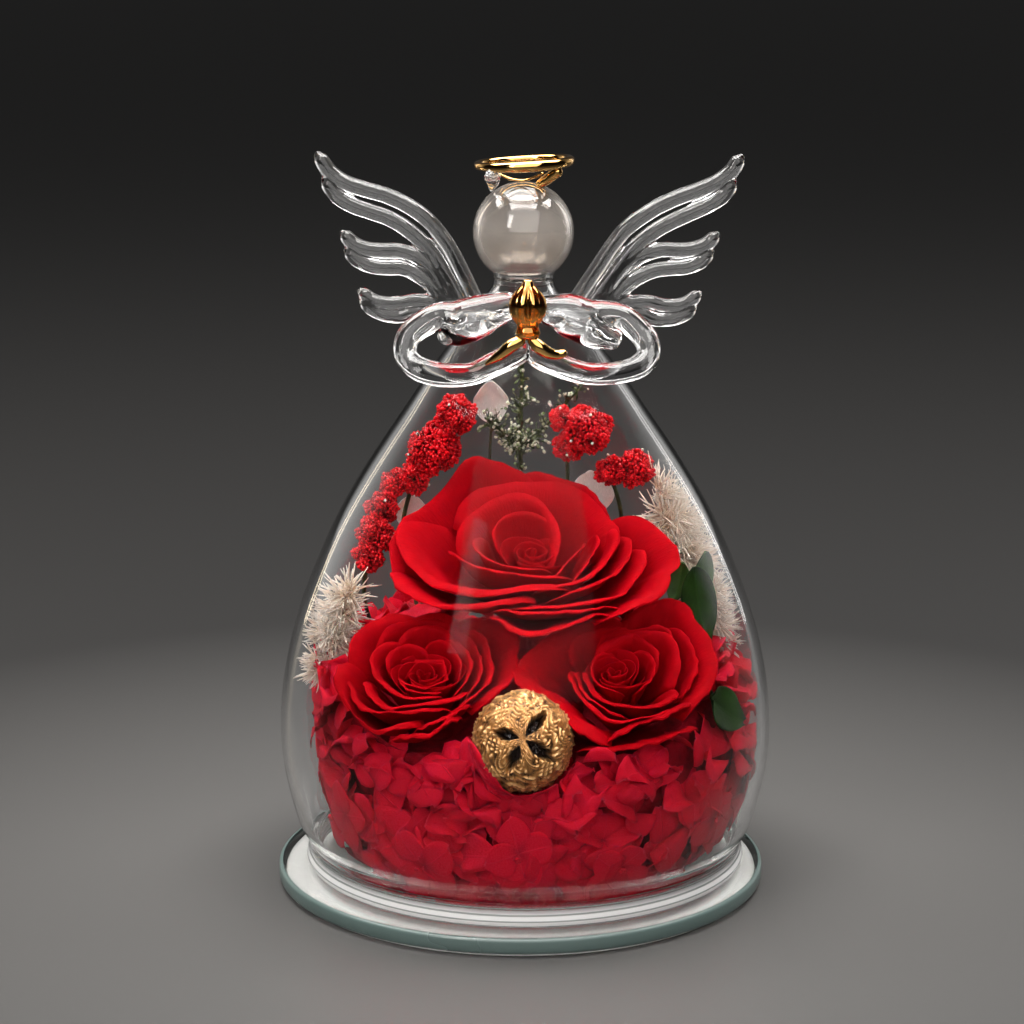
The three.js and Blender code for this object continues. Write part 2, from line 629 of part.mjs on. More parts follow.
const LEAVES = {
  leaf_upper: {
    base: [41.2, -12.2, 81], tip: [44.2, -14.5, 63.6], width: 8.6, facing: [0.25, -1, 0.25],
    stem: [[41.4, -12, 80.6], [40.4, -7.5, 76], [42, -3, 60]],
  },
  leaf_light: {
    base: [38.9, -9.6, 81.6], tip: [37.2, -10.6, 72.4], width: 3.6, facing: [-0.4, -1, 0.4],
    stem: [[38.9, -9.4, 81.2], [38.6, -5, 77], [40, -1, 62]],
  },
  leaf_small: {
    base: [44.6, -6.4, 76], tip: [44.3, -7.4, 84], width: 3.8, facing: [0.8, -1, 0.2],
    stem: [[44.6, -6.4, 76.4], [46.5, -4.5, 66], [45.5, -4, 58]],
  },
  leaf_lower: {
    base: [44.2, -31, 54], tip: [52.2, -24.2, 46], width: 9, facing: [0.8, -0.6, 0.3],
    stem: [[44.3, -30.9, 53.8], [44.6, -28, 54.4], [43.5, -25, 54]],
  },
};

function buildLeaves() {
  for (const [name, leaf] of Object.entries(LEAVES)) {
    const shape = blade(leaf.base, leaf.tip, leaf.width, leaf.facing, 0.8, 0.7);
    addMesh(name, joined([shape, stemRod(leaf.stem, 0.5)]), "leaf");
  }
}

// Upright green sprig with two side twigs of cream buds
const TWIGS = [
  [[0, 19.5, 103], [-4.5, 16, 108.5], [-8.5, 13, 112.5]],
  [[0, 19.5, 103], [6.2, 18, 109.5], [14.2, 13, 119.6]],
];
const BUDS = [[-8.8, 12.8, 113, 1.6], [14.4, 12.8, 120, 1.6], [10.4, 15.4, 115, 1.3]];

function buildSprig() {
  const stem = rod([...[[0.4, 13, 126.5], [0.1, 17, 113], [0, 21, 98], [0, 27, 82]], onBed([0, 29])]
    .map((k) => [...k.slice(0, 3), 0.6]), 5, 4);
  const twigs = TWIGS.map((line) => rod(line.map((k) => [...k, 0.45]), 2, 4));
  const buds = BUDS.map(([x, y, z, r]) => new THREE.OctahedronGeometry(r).translate(x, y, z));
  addMesh("bud_sprig", joined([stem, ...twigs, ...buds]), "sprig");
}

// Pale bleached petals that stand behind the roses
const PALE_PETALS = {
  pale_petal_left: { base: [-27.5, 19, 84], tip: [-27.2, 15.5, 93], width: 9, stem: [[-27.4, 18.8, 85], [-26, 20, 76]] },
  pale_petal_middle: { base: [-7.3, 19.5, 111], tip: [-7.6, 15.5, 121.5], width: 9, stem: [[-7.3, 19.4, 112], [-8, 26, 92]] },
  pale_petal_right: { base: [18.5, 19, 87], tip: [17.3, 15.4, 99], width: 11, stem: [[18.5, 18.8, 88], [18, 24.5, 78]] },
};

function buildPalePetals() {
  for (const [name, petal] of Object.entries(PALE_PETALS)) {
    const shape = blade(petal.base, petal.tip, petal.width, [0, -1, 0.3], 0.8, 0.8);
    addMesh(name, joined([shape, stemRod(petal.stem, 0.5, 2)]), "cream");
  }
}

buildBase();
buildDome();
buildHead();
buildHalo();
buildWings();
buildArms();
buildHands();
buildRoses();
buildPod();
buildBed();
buildFlorets();
buildSprays();
buildTufts();
buildLeaves();
buildSprig();
buildPalePetals();

export default group;
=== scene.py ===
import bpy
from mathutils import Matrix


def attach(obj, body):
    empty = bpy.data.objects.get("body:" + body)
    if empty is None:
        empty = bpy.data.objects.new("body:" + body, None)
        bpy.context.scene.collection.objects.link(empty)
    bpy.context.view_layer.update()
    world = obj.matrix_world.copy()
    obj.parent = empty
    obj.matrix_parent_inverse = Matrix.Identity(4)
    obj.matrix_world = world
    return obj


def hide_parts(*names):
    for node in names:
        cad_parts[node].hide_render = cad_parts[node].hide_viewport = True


bl_info = {
    "name": "Preserved roses in a glass dome",
    "version": (1, 0, 0),
    "blender": (4, 5, 0),
    "location": "3D View > Sidebar > Rose Dome",
    "description": "Builds the clear winged glass dome, its gilt pieces and the preserved flowers under it",
    "category": "Add Mesh",
}

import math

import bmesh
import bpy
import numpy as np
from bpy.props import FloatProperty, FloatVectorProperty, IntProperty, PointerProperty
from mathutils import Vector

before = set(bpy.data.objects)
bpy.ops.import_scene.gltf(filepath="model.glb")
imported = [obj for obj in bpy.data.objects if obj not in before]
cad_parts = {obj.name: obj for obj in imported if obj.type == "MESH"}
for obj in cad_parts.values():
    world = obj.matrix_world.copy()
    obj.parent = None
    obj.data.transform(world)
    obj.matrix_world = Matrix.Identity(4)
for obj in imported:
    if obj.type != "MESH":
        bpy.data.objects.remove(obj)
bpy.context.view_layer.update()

MM = 0.001
TURN = 2 * math.pi
NEARLY_A_TURN = 6.28

# Places and sizes in millimetres, in the part's frame
DOME_AXIS = 1.1
DOME_WALL = 1.6
HEAD_AXIS = 0.6
HEAD_HEIGHT = 160.1
HEAD_RADIUS = 12.05
POD_CENTRE = np.array([0.4, -44.4, 47.4])
POD_RADIUS = 12.2
POD_ELEVATION = 20
PLATE_BOTTOM = 1.0
PLATE_TOP = 4.8
SHEET_THICKNESS = 0.26
FUSE_VOXEL = 0.40
FUSE_ROUNDS = 6

# Values of the finishes; the heights and distances are in metres
GLASS_IOR = 1.47
PLATE_IOR = 1.5
MILKY_FOOT = (0.0078, 0.0104)
RING_SHADE_END = (0.0102, 0.0112)
RING_PITCH = 4800.0
VEIN_PITCH = 55.0
LIGHT_POOL_FADE = (0.09, 0.26)

# The camera, fitted to the photo
CAMERA_PLACE = (-0.0021, -0.656, 0.234)
CAMERA_DIP = 12.22
CAMERA_SENSOR = 36
FOCAL_PIXELS, PHOTO_PIXELS = 2760, 1024


# Sizes and colours that a user would change

class RoseDomeGlass(bpy.types.PropertyGroup):
    wall: FloatProperty(name="Wall", description="Thickness of the blown wall", default=0.0016, min=0.0006,
                        max=0.003, unit="LENGTH")
    plate_radius: FloatProperty(name="Plate radius", description="Radius of the round base plate",
                                default=0.06, unit="LENGTH")
    clear: FloatVectorProperty(name="Clear glass", description="Tint of the blown glass", subtype="COLOR",
                               default=(1.0, 1.0, 1.0))
    # The ball head's white is a painted veil of reflected light, not a tint of the glass.
    painted_veil: FloatVectorProperty(name="Milky glass", description="Colour of the faintly clouded ball head",
                               subtype="COLOR", default=(0.77, 0.72, 0.67))
    plate: FloatVectorProperty(name="Plate glass", description="Green-grey that shows along the plate's edge",
                               subtype="COLOR", default=(0.55, 0.78, 0.72))
    edge: FloatVectorProperty(name="Plate edge", description="Colour of the plate's satin ground edge",
                              subtype="COLOR", default=(0.105, 0.155, 0.145))
    backing: FloatVectorProperty(name="Backing", description="Colour of the disc under the plate",
                                 subtype="COLOR", default=(0.92, 0.91, 0.89))


class RoseDomeGilding(bpy.types.PropertyGroup):
    gold: FloatVectorProperty(name="Gold lustre", description="Colour of the mirror gold on the glass",
                              subtype="COLOR", default=(0.86, 0.50, 0.16))
    pod: FloatVectorProperty(name="Gold paint", description="Colour of the paint on the seed pod",
                             subtype="COLOR", default=(0.74, 0.33, 0.09))
    slit: FloatVectorProperty(name="Slit", description="Colour inside the pod's slits", subtype="COLOR",
                              default=(0.018, 0.006, 0.003))


class RoseDomeFlowers(bpy.types.PropertyGroup):
    petal_thickness: FloatProperty(name="Petal thickness", description="Thickness of a rose petal",
                                   default=0.00032, unit="LENGTH")
    rose: FloatVectorProperty(name="Rose", description="Colour of the rose petals", subtype="COLOR",
                              default=(0.50, 0.0005, 0.0060))
    hydrangea: FloatVectorProperty(name="Hydrangea", description="Colour of the pressed petals",
                                   subtype="COLOR", default=(0.92, 0.002, 0.030))
    berry: FloatVectorProperty(name="Rice flower", description="Colour of the tiny round buds",
                               subtype="COLOR", default=(0.66, 0.003, 0.010))
    bristle: FloatVectorProperty(name="Bristle", description="Colour of the dried bristles", subtype="COLOR",
                                 default=(1.0, 0.85, 0.70))
    leaf: FloatVectorProperty(name="Leaf", description="Colour of the dark leaves", subtype="COLOR",
                              default=(0.011, 0.034, 0.003))
    light_leaf: FloatVectorProperty(name="Light leaf", description="Colour of the light leaf",
                                    subtype="COLOR", default=(0.040, 0.095, 0.018))
    twig: FloatVectorProperty(name="Twig", description="Colour of the green twigs", subtype="COLOR",
                              default=(0.045, 0.060, 0.014))
    bud: FloatVectorProperty(name="Bud", description="Colour of the cream buds", subtype="COLOR",
                             default=(0.84, 0.81, 0.70))
    pale: FloatVectorProperty(name="Pale petal", description="Colour of the bleached petals", subtype="COLOR",
                              default=(0.97, 0.91, 0.88))
    seed: IntProperty(name="Seed", description="Seed of the natural variation", default=7)


class RoseDomeStage(bpy.types.PropertyGroup):
    floor: FloatVectorProperty(name="Floor", description="Colour of the floor near the part", subtype="COLOR",
                               default=(0.046, 0.045, 0.0437))
    backdrop: FloatVectorProperty(name="Backdrop", description="Colour of the far floor and the room light",
                                  subtype="COLOR", default=(0.011, 0.0107, 0.0105))
    key: FloatProperty(name="Key light", description="Power of the overhead soft light in watts",
                       default=24.0)
    fill: FloatProperty(name="Fill light", description="Power of the broad front light in watts",
                        default=12.0)
    side_glow: FloatProperty(name="Side glow", description="Brightness of the room at the sides", default=0.8)


# Numbers

def lerp(a, b, t):
    return a + (b - a) * t


def bump(distance, width):
    return np.exp(-(distance / width) ** 2)


def unit(v):
    return v / np.maximum(np.linalg.norm(v, axis=-1, keepdims=True), 1e-9)


def smooth_line(knots, per_span):
    """Centripetal curve through rows of coordinates and sizes; the first three columns are the place."""
    k = np.asarray(knots, float)
    k = np.vstack([2 * k[0] - k[1], k, 2 * k[-1] - k[-2]])
    out = []
    for i in range(1, len(k) - 2):
        p = k[i - 1:i + 3]
        gaps = np.maximum(np.linalg.norm(np.diff(p[:, :min(3, p.shape[1])], axis=0), axis=1), 1e-6) ** 0.5
        t = np.concatenate([[0], np.cumsum(gaps)])
        last = i == len(k) - 3
        for u in np.linspace(t[1], t[2], per_span + 1)[:None if last else -1]:
            a = [((t[j + 1] - u) * p[j] + (u - t[j]) * p[j + 1]) / (t[j + 1] - t[j]) for j in range(3)]
            b = [((t[j + 2] - u) * a[j] + (u - t[j]) * a[j + 1]) / (t[j + 2] - t[j]) for j in range(2)]
            out.append(((t[2] - u) * b[0] + (u - t[1]) * b[1]) / (t[2] - t[1]))
    return np.array(out)


def turned(radius, angle, height):
    return np.stack([radius * np.cos(angle), radius * np.sin(angle), height], axis=-1)


def seeded(context, extra):
    """Random numbers of one group of flowers."""
    return np.random.default_rng(context.scene.rose_dome_flowers.seed + extra)


def about_x(points, degrees):
    c, s = math.cos(math.radians(degrees)), math.sin(math.radians(degrees))
    return points @ np.array([[1, 0, 0], [0, c, s], [0, -s, c]])


def sheet_normals(grid):
    along = np.gradient(grid, axis=0)
    across = np.gradient(grid, axis=1)
    return unit(np.cross(across, along))


# Mesh making: a piece gathers grids of points in millimetres

class Piece:
    def __init__(self, name):
        self.name = name
        self.points, self.quads, self.loose, self.uv, self.tint, self.slots = [], [], [], [], [], []
        self.count = 0

    def grid(self, grid, uv=None, tint=0.5, slot=0, wrap=False):
        rows, cols = grid.shape[:2]
        index = np.arange(rows * cols).reshape(rows, cols) + self.count
        if wrap:
            index = np.concatenate([index, index[:, :1]], axis=1)
        q = np.stack([index[:-1, :-1], index[:-1, 1:], index[1:, 1:], index[1:, :-1]], axis=-1).reshape(-1, 4)
        if uv is None:
            u, v = np.meshgrid(np.linspace(0, 1, cols), np.linspace(0, 1, rows))
            uv = np.stack([u, v], axis=-1)
        self._take(grid.reshape(-1, 3), q, uv.reshape(-1, 2), tint, slot)
        return index

    def _take(self, points, quads, uv, tint, slot):
        self.points.append(points)
        self.quads.append(quads)
        self.slots.append(np.full(len(quads), slot))
        self.uv.append(uv)
        self.tint.append(np.broadcast_to(np.asarray(tint, float), (len(points),)))
        self.count += len(points)

    def cap(self, ring, slot=0):
        self.loose.append(([int(i) for i in ring], slot))

    def closed(self, rings, uv=None, tint=0.5, slot=0):
        """Body through rings of points, with a face over both ends."""
        index = self.grid(rings, uv, tint, slot, wrap=True)
        self.cap(index[0, :-1][::-1], slot)
        self.cap(index[-1, :-1], slot)

    def join_ends(self, index):
        """Joins the last ring of a wrapped grid to its first."""
        first, last = index[0], index[-1]
        self.quads.append(np.stack([last[:-1], last[1:], first[1:], first[:-1]], axis=-1))
        self.slots.append(np.zeros(len(first) - 1))

    def tube(self, line, sides, tint=0.5, slot=0):
        """Round rod along rows of [x, y, z, radius], with half-round ends."""
        line = np.asarray(line, float)
        tangent = unit(np.gradient(line[:, :3], axis=0))
        side = np.array([1.0, 0, 0]) if abs(tangent[0, 2]) > 0.9 else np.array([0, 0, 1.0])
        rings = []
        for row, along in zip(line, tangent):
            side = unit(side - along * (side @ along))
            rings.append((row[:3], side, np.cross(along, side), row[3], along))
        steps = [(math.cos(q), math.sin(q)) for q in np.linspace(0.05, math.pi / 2, 5)[:-1]]
        ends = [
            [(centre + t * sign * r * c * 0.9, a, b, r * s, t) for c, s in steps]
            for (centre, a, b, r, t), sign in ((rings[0], -1), (rings[-1], 1))
        ]
        angle = np.arange(sides) / sides * TURN
        self.closed(np.array([
            c + np.outer(np.cos(angle) * r, a) + np.outer(np.sin(angle) * r, b)
            for c, a, b, r, _ in ends[0] + rings + ends[1][::-1]
        ]), tint=tint, slot=slot)

    def sheet(self, grid, thickness, tint=0.5, slot=0):
        """Closed sheet about a grid of its middle, half as thick at its rim."""
        rows, cols = grid.shape[:2]
        normal = sheet_normals(grid)
        v = np.linspace(0, 1, rows)[:, None]
        u = np.linspace(-1, 1, cols)[None, :]
        edge = np.maximum(np.abs(u) ** 6, v ** 8)
        half = (thickness / 2) * (1 - 0.5 * edge)[..., None]
        uv = np.stack(np.broadcast_arrays((u + 1) / 2, v), axis=-1)
        front = self.grid(grid + normal * half, uv, tint, slot)
        back = self.grid((grid - normal * half)[:, ::-1], uv[:, ::-1], tint, slot)[:, ::-1]
        a, b = border(front), border(back)
        rim = np.stack([a, b, np.roll(b, -1), np.roll(a, -1)], axis=-1)
        self.quads.append(rim)
        self.slots.append(np.full(len(rim), slot))

    def lathe(self, profile, segments):
        """Turned surface from rows of [radius, height] or [radius, height, x of the axis]."""
        p = np.asarray(profile, float)
        angle = np.arange(segments) / segments * TURN
        shift = p[:, 2] if p.shape[1] > 2 else np.zeros(len(p))
        grid = np.stack([
            p[:, :1] * np.cos(angle) + shift[:, None],
            p[:, :1] * np.sin(angle),
            np.repeat(p[:, 1:2], segments, axis=1),
        ], axis=-1)
        return self.grid(grid, wrap=True)

    def balls(self, centres, radii, tint=0.5, slot=0, stretch=None):
        """Many small round beads from one low ball."""
        base, quads = small_ball()
        n = len(base)
        centres, radii = np.asarray(centres, float), np.asarray(radii, float)
        shape = base[None] * radii[:, None, None]
        if stretch is not None:
            directions, amount = stretch
            directions = unit(np.asarray(directions, float))
            shape = shape + directions[:, None, :] * (shape @ directions[:, :, None]) * (amount - 1)
        points = (shape + centres[:, None, :]).reshape(-1, 3)
        faces = (quads[None] + (np.arange(len(centres)) * n)[:, None, None]).reshape(-1, 4) + self.count
        tint = np.repeat(np.broadcast_to(np.asarray(tint, float), (len(centres),)), n)
        self._take(points, faces, np.zeros((len(points), 2)) + 0.5, tint, slot)

    def build(self, materials, slot_name, *nodes):
        points = np.vstack(self.points) * MM
        quads = np.vstack(self.quads)
        faces = quads.tolist() + [f for f, _ in self.loose]
        mesh = bpy.data.meshes.new(self.name)
        mesh.from_pydata(points.tolist(), [], faces)
        layer = mesh.uv_layers.new(name="UVMap")
        corner = np.zeros(len(mesh.loops), np.int32)
        mesh.loops.foreach_get("vertex_index", corner)
        layer.data.foreach_set("uv", np.vstack(self.uv)[corner].astype(np.float32).ravel())
        tint = mesh.attributes.new("tint", "FLOAT", "POINT")
        tint.data.foreach_set("value", np.concatenate(self.tint).astype(np.float32))
        slots = np.concatenate(self.slots + [np.array([s for _, s in self.loose], int)])
        for material in materials:
            mesh.materials.append(material)
        mesh.polygons.foreach_set("material_index", slots.astype(np.int32))
        mesh.polygons.foreach_set("use_smooth", np.ones(len(mesh.polygons), bool))
        mesh.update()
        obj = bpy.data.objects.new(self.name, mesh)
        bpy.context.scene.collection.objects.link(obj)
        return settle(obj, slot_name, *nodes)


def border(index):
    """The points around the edge of a grid, in order."""
    return np.concatenate([index[0, :-1], index[:-1, -1], index[-1, :0:-1], index[:0:-1, 0]])


def settle(obj, slot_name, *nodes):
    """Gives a piece its body and hides the parts that it stands for; the slot name is not used."""
    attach(obj, "root")
    if nodes:
        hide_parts(*nodes)
    return obj


def small_ball():
    """Ball of twelve quads; each spans two neighbouring axis points and the two corners between them."""
    axes = np.concatenate([np.eye(3), -np.eye(3)])
    signs = np.array([[x, y, z] for x in (1, -1) for y in (1, -1) for z in (1, -1)])
    points = np.concatenate([axes, signs / math.sqrt(3)])
    quads = []
    for i in range(6):
        for j in range(i + 1, 6):
            if i % 3 == j % 3:
                continue
            corners = [6 + k for k, sign in enumerate(signs) if sign @ axes[i] > 0 and sign @ axes[j] > 0]
            quad = [i, corners[0], j, corners[1]]
            middle = points[quad].sum(axis=0)
            turn = np.cross(points[quad[1]] - points[quad[0]], points[quad[2]] - points[quad[1]])
            quads.append(quad if turn @ middle > 0 else quad[::-1])
    return points, np.array(quads)


def rod(name, node, sides, material, slot_name, knots):
    """A piece that is one round rod."""
    piece = Piece(name)
    piece.tube(smooth_line(knots, 8), sides)
    piece.build([material], slot_name, node)


def merge_poles(obj):
    """Merges the points that a turned surface has on its axis."""
    work = bmesh.new()
    work.from_mesh(obj.data)
    bmesh.ops.remove_doubles(work, verts=work.verts, dist=1e-6)
    work.to_mesh(obj.data)
    work.free()


def fuse(obj):
    """Melts the overlapping rods of a piece into one skin, as glass does in the flame."""
    melt = obj.modifiers.new("melt", "REMESH")
    melt.mode = "VOXEL"
    melt.voxel_size = FUSE_VOXEL * MM
    melt.use_smooth_shade = True
    flow = obj.modifiers.new("flow", "SMOOTH")
    flow.factor = 0.5
    flow.iterations = FUSE_ROUNDS
    graph = bpy.context.evaluated_depsgraph_get()
    mesh = bpy.data.meshes.new_from_object(obj.evaluated_get(graph))
    obj.modifiers.clear()
    obj.data = mesh
    mesh.polygons.foreach_set("use_smooth", np.ones(len(mesh.polygons), bool))


# Materials

class Graph:
    """Short ways to add nodes to a node tree."""

    def __init__(self, tree):
        self.nodes = tree.nodes
        self.links = tree.links

    def feed(self, socket, value):
        """Joins another node's output to a socket, or writes a number, vector or colour into it."""
        if hasattr(value, "links"):
            self.links.new(value, socket)
        elif hasattr(value, "__len__") and len(socket.default_value) > len(value):
            socket.default_value = (*value, 1.0)
        else:
            socket.default_value = value

    def add(self, kind, inputs=(), **settings):
        node = self.nodes.new("ShaderNode" + kind)
        for key, value in settings.items():
            setattr(node, key, value)
        for key, value in dict(inputs).items():
            self.feed(node.inputs[key], value)
        return node

    def part(self, vector, which):
        return self.add("SeparateXYZ", {0: vector}).outputs[which]

    def sum(self, operation, a, b=0.0):
        return self.add("Math", {0: a, 1: b}, operation=operation).outputs[0]

    def range(self, factor, low, high, start=0.0, end=1.0, **settings):
        """Maps start..end to low..high."""
        inputs = {"Value": factor, "From Min": start, "From Max": end, "To Min": low, "To Max": high}
        return self.add("MapRange", inputs, **settings).outputs["Result"]


class Finish(Graph):
    """A material with its shader, and short ways to add the nodes that vary it."""

    def __init__(self, name):
        self.material = bpy.data.materials.new(name)
        self.material.use_nodes = True
        super().__init__(self.material.node_tree)
        self.shader = self.nodes["Principled BSDF"]
        self.output = self.nodes["Material Output"]
        self.place = self.add("TexCoord").outputs["Object"]
        self.uv = self.add("UVMap").outputs["UV"]

    def set(self, **values):
        for key, value in values.items():
            self.feed(self.shader.inputs[key.replace("_", " ")], value)

    def stretched(self, where, stretch):
        where = where or self.place
        if stretch is None:
            return where
        return self.add("Mapping", {"Scale": stretch, "Vector": where}).outputs["Vector"]

    def noise(self, scale, detail=3, rough=0.5, where=None, stretch=None):
        where = self.stretched(where, stretch)
        inputs = {"Scale": scale, "Detail": detail, "Roughness": rough, "Vector": where}
        return self.add("TexNoise", inputs).outputs["Fac"]

    def tint(self):
        """The light and dark that a piece gives its own points: random tone, with painted shade in some
        pieces.
        """
        return self.add("Attribute", attribute_name="tint").outputs["Fac"]

    def off_middle(self):
        """Distance from the long middle line of a petal or leaf."""
        return self.sum("ABSOLUTE", self.sum("SUBTRACT", self.part(self.uv, 0), 0.5))

    def ramp(self, factor, *stops):
        node = self.add("ValToRGB", {"Fac": factor})
        elements = node.color_ramp.elements
        while len(elements) < len(stops):
            elements.new(0.5)
        for element, (place, colour) in zip(elements, stops):
            element.position = place
            element.color = (*colour, 1.0)
        return node.outputs["Color"]

    def blend(self, factor, a, b):
        node = self.add("Mix", {0: factor}, data_type="RGBA")
        for socket, colour in zip([s for s in node.inputs if s.type == "RGBA"], (a, b)):
            self.feed(socket, colour)
        return [s for s in node.outputs if s.type == "RGBA"][0]

    def relief(self, height, strength, depth, before=None):
        """Bumps of a depth in millimetres, on top of those made before."""
        inputs = {"Strength": strength, "Distance": depth * MM, "Height": height}
        if before is not None:
            inputs["Normal"] = before
        normal = self.add("Bump", inputs).outputs["Normal"]
        self.set(Normal=normal)
        return normal


def shade(colour, factor):
    return tuple(min(1.0, c * factor) for c in colour)


def finish(maker):
    """Makes a material on its first call, named after its function, and gives the same one later."""
    made = []

    def get():
        if not made:
            f = Finish(maker.__name__)
            maker(f, bpy.context.scene)
            made.append(f.material)
        return made[0]
    return get


@finish
def clear_glass(f, scene):
    """Blown glass, with the foot's moulded rings, grey lines painted along them as the shade of their
    grooves, and its faint milkiness.
    """
    height = f.part(f.place, 2)
    # Grey lines painted along the foot's rings: painted shade in their grooves, fading out above the foot.
    rings = f.range(f.sum("SINE", f.sum("MULTIPLY", height, RING_PITCH)), 0.0, 1.0, 0.45, 0.95)
    lines = f.sum("MULTIPLY", rings, f.range(height, 1.0, 0.0, *RING_SHADE_END))
    f.set(Roughness=0.0, IOR=GLASS_IOR, Specular_Tint=(0.03, 0.03, 0.03),
          Transmission_Weight=f.range(height, 0.45, 1.0, *MILKY_FOOT),
          Base_Color=f.blend(lines, tuple(scene.rose_dome_glass.clear), (0.40, 0.44, 0.42)))
    f.relief(lines, 0.6, 0.3, f.relief(f.noise(60, 2), 0.12, 0.25))


@finish
def ball_glass_painted_veil(f, scene):
    haze = f.noise(70, 3)
    # Painted veil of reflected light: less transmission and more white towards the bottom, where the ball
    # looks brighter.
    height = f.range(f.part(f.place, 2), 0.78, 0.96, 0.150, 0.170)
    f.set(Base_Color=tuple(scene.rose_dome_glass.painted_veil), Roughness=0.0, IOR=GLASS_IOR,
          Transmission_Weight=f.sum("ADD", height, f.range(haze, -0.03, 0.03, 0.35, 0.65)))
    f.relief(haze, 0.08, 0.2)


@finish
def flame_worked_glass(f, scene):
    f.set(Base_Color=tuple(scene.rose_dome_glass.clear), Roughness=0.0, IOR=GLASS_IOR,
          Transmission_Weight=1.0)
    f.relief(f.noise(160, 3), 0.18, 0.25)


@finish
def plate_glass(f, scene):
    f.set(Base_Color=(1.0, 1.0, 1.0), Roughness=0.0, IOR=PLATE_IOR, Transmission_Weight=1.0)
    absorb = f.add("VolumeAbsorption", {"Color": scene.rose_dome_glass.plate, "Density": 12.0})
    f.feed(f.output.inputs["Volume"], absorb.outputs["Volume"])
    f.relief(f.noise(35, 2), 0.05, 0.2)


@finish
def plate_ground_edge(f, scene):
    edge = scene.rose_dome_glass.edge
    grind = f.noise(40, 2, stretch=(1.0, 1.0, 2.0))
    f.set(IOR=PLATE_IOR, Transmission_Weight=0.35, Roughness=f.range(grind, 0.25, 0.40, 0.3, 0.7),
          Base_Color=f.blend(f.range(grind, 0.0, 1.0, 0.3, 0.7), shade(edge, 0.9), edge))
    f.relief(f.noise(2500, 2), 0.05, 0.01)


@finish
def backing_white(f, scene):
    white = scene.rose_dome_glass.backing
    speckle = f.noise(900, 4)
    f.set(Base_Color=f.blend(f.range(speckle, 0.0, 1.0, 0.35, 0.65), shade(white, 0.93), white),
          Roughness=0.45)
    f.relief(speckle, 0.1, 0.05)


def gold_shader(f, scene, rough):
    gold = scene.rose_dome_gilding.gold
    drift = f.noise(180, 3)
    f.set(Base_Color=f.ramp(drift, (0.3, shade(gold, 0.75)), (0.7, shade(gold, 1.05))), Metallic=1.0,
          Roughness=f.range(f.noise(700, 3), rough * 0.6, rough * 1.6, 0.3, 0.7))
    f.relief(drift, 0.25, 0.12)


@finish
def gold_lustre(f, scene):
    gold_shader(f, scene, 0.07)


@finish
def amber_lustre(f, scene):
    """Gold lustre with thin places where the amber glass shows."""
    gold_shader(f, scene, 0.06)
    amber = f.add("BsdfGlass", {"Color": (0.90, 0.52, 0.14), "Roughness": 0.03, "IOR": PLATE_IOR})
    thin = f.range(f.noise(300, 2), 0.1, 0.6, 0.42, 0.58)
    mix = f.add("MixShader", {0: thin, 1: f.shader.outputs[0], 2: amber.outputs[0]})
    f.feed(f.output.inputs["Surface"], mix.outputs[0])


@finish
def rose_velvet(f, scene):
    red = tuple(scene.rose_dome_flowers.rose)
    # Darker towards the petal's base, painted shade deep in the flower, and lighter at its rolled rim, a
    # painted highlight.
    depth = f.ramp(f.part(f.uv, 1), (0.0, shade(red, 0.30)), (0.45, shade(red, 0.72)), (0.9, red),
                   (1.0, (red[0] * 1.25, 0.0015, 0.008)))
    mottled = f.blend(f.range(f.noise(230, 4, 0.6), 0.0, 0.5, 0.35, 0.7), depth, shade(red, 0.55))
    streak = f.noise(14, 4, 0.6, f.uv, (9.0, 0.6, 1.0))
    veined = f.blend(f.range(streak, 0.0, 0.35, 0.45, 0.75), mottled, shade(red, 0.45))
    f.set(Base_Color=f.blend(f.range(f.tint(), 0.0, 0.5), veined, shade(red, 0.5)),
          Roughness=0.62, Sheen_Weight=0.10, Sheen_Roughness=0.35, Sheen_Tint=(1.0, 0.0, 0.02),
          Subsurface_Weight=0.12, Subsurface_Radius=(1.0, 0.06, 0.05), Subsurface_Scale=0.0012,
          Specular_IOR_Level=0.03)
    first = f.relief(streak, 0.5, 0.35)
    second = f.relief(f.noise(150, 4, 0.55), 0.35, 0.8, first)
    f.relief(f.noise(1500, 3, 0.7), 0.3, 0.07, second)


@finish
def hydrangea_petal(f, scene):
    red = tuple(scene.rose_dome_flowers.hydrangea)
    # Darker towards the petal's base, painted shade where the petals overlap, and pinker at the rim, a
    # painted highlight.
    base = f.ramp(f.part(f.uv, 1), (0.0, shade(red, 0.60)), (0.35, shade(red, 0.95)),
                  (0.88, shade(red, 1.02)), (1.0, (1.0, 0.05, 0.10)))
    vein_line = f.noise(16, 3, 0.5, f.uv, (3.2, 1.1, 1.0))
    veins = f.range(f.sum("ABSOLUTE", f.sum("SUBTRACT", vein_line, 0.5)), 1.0, 0.0, 0.0, 0.045)
    lines = f.sum("MAXIMUM", veins, f.range(f.off_middle(), 1.0, 0.0, 0.0, 0.03))
    pale = (min(1.0, red[0] * 1.15), red[1] * 3 + 0.02, red[2] * 2 + 0.02)
    veined = f.blend(f.sum("MULTIPLY", lines, 0.6), base, pale)
    f.set(Base_Color=f.blend(f.range(f.tint(), 0.0, 0.9, 0.4, 1.0), veined, shade(red, 0.42)),
          Roughness=0.6, Sheen_Weight=0.08, Sheen_Roughness=0.4, Sheen_Tint=(1.0, 0.1, 0.2),
          Subsurface_Weight=0.35, Subsurface_Radius=(1.0, 0.06, 0.06), Subsurface_Scale=0.001,
          Specular_IOR_Level=0.12)
    first = f.relief(lines, 0.8, 0.3)
    second = f.relief(f.noise(240, 4, 0.6), 0.5, 0.7, first)
    f.relief(f.noise(1100, 3, 0.6), 0.35, 0.10, second)


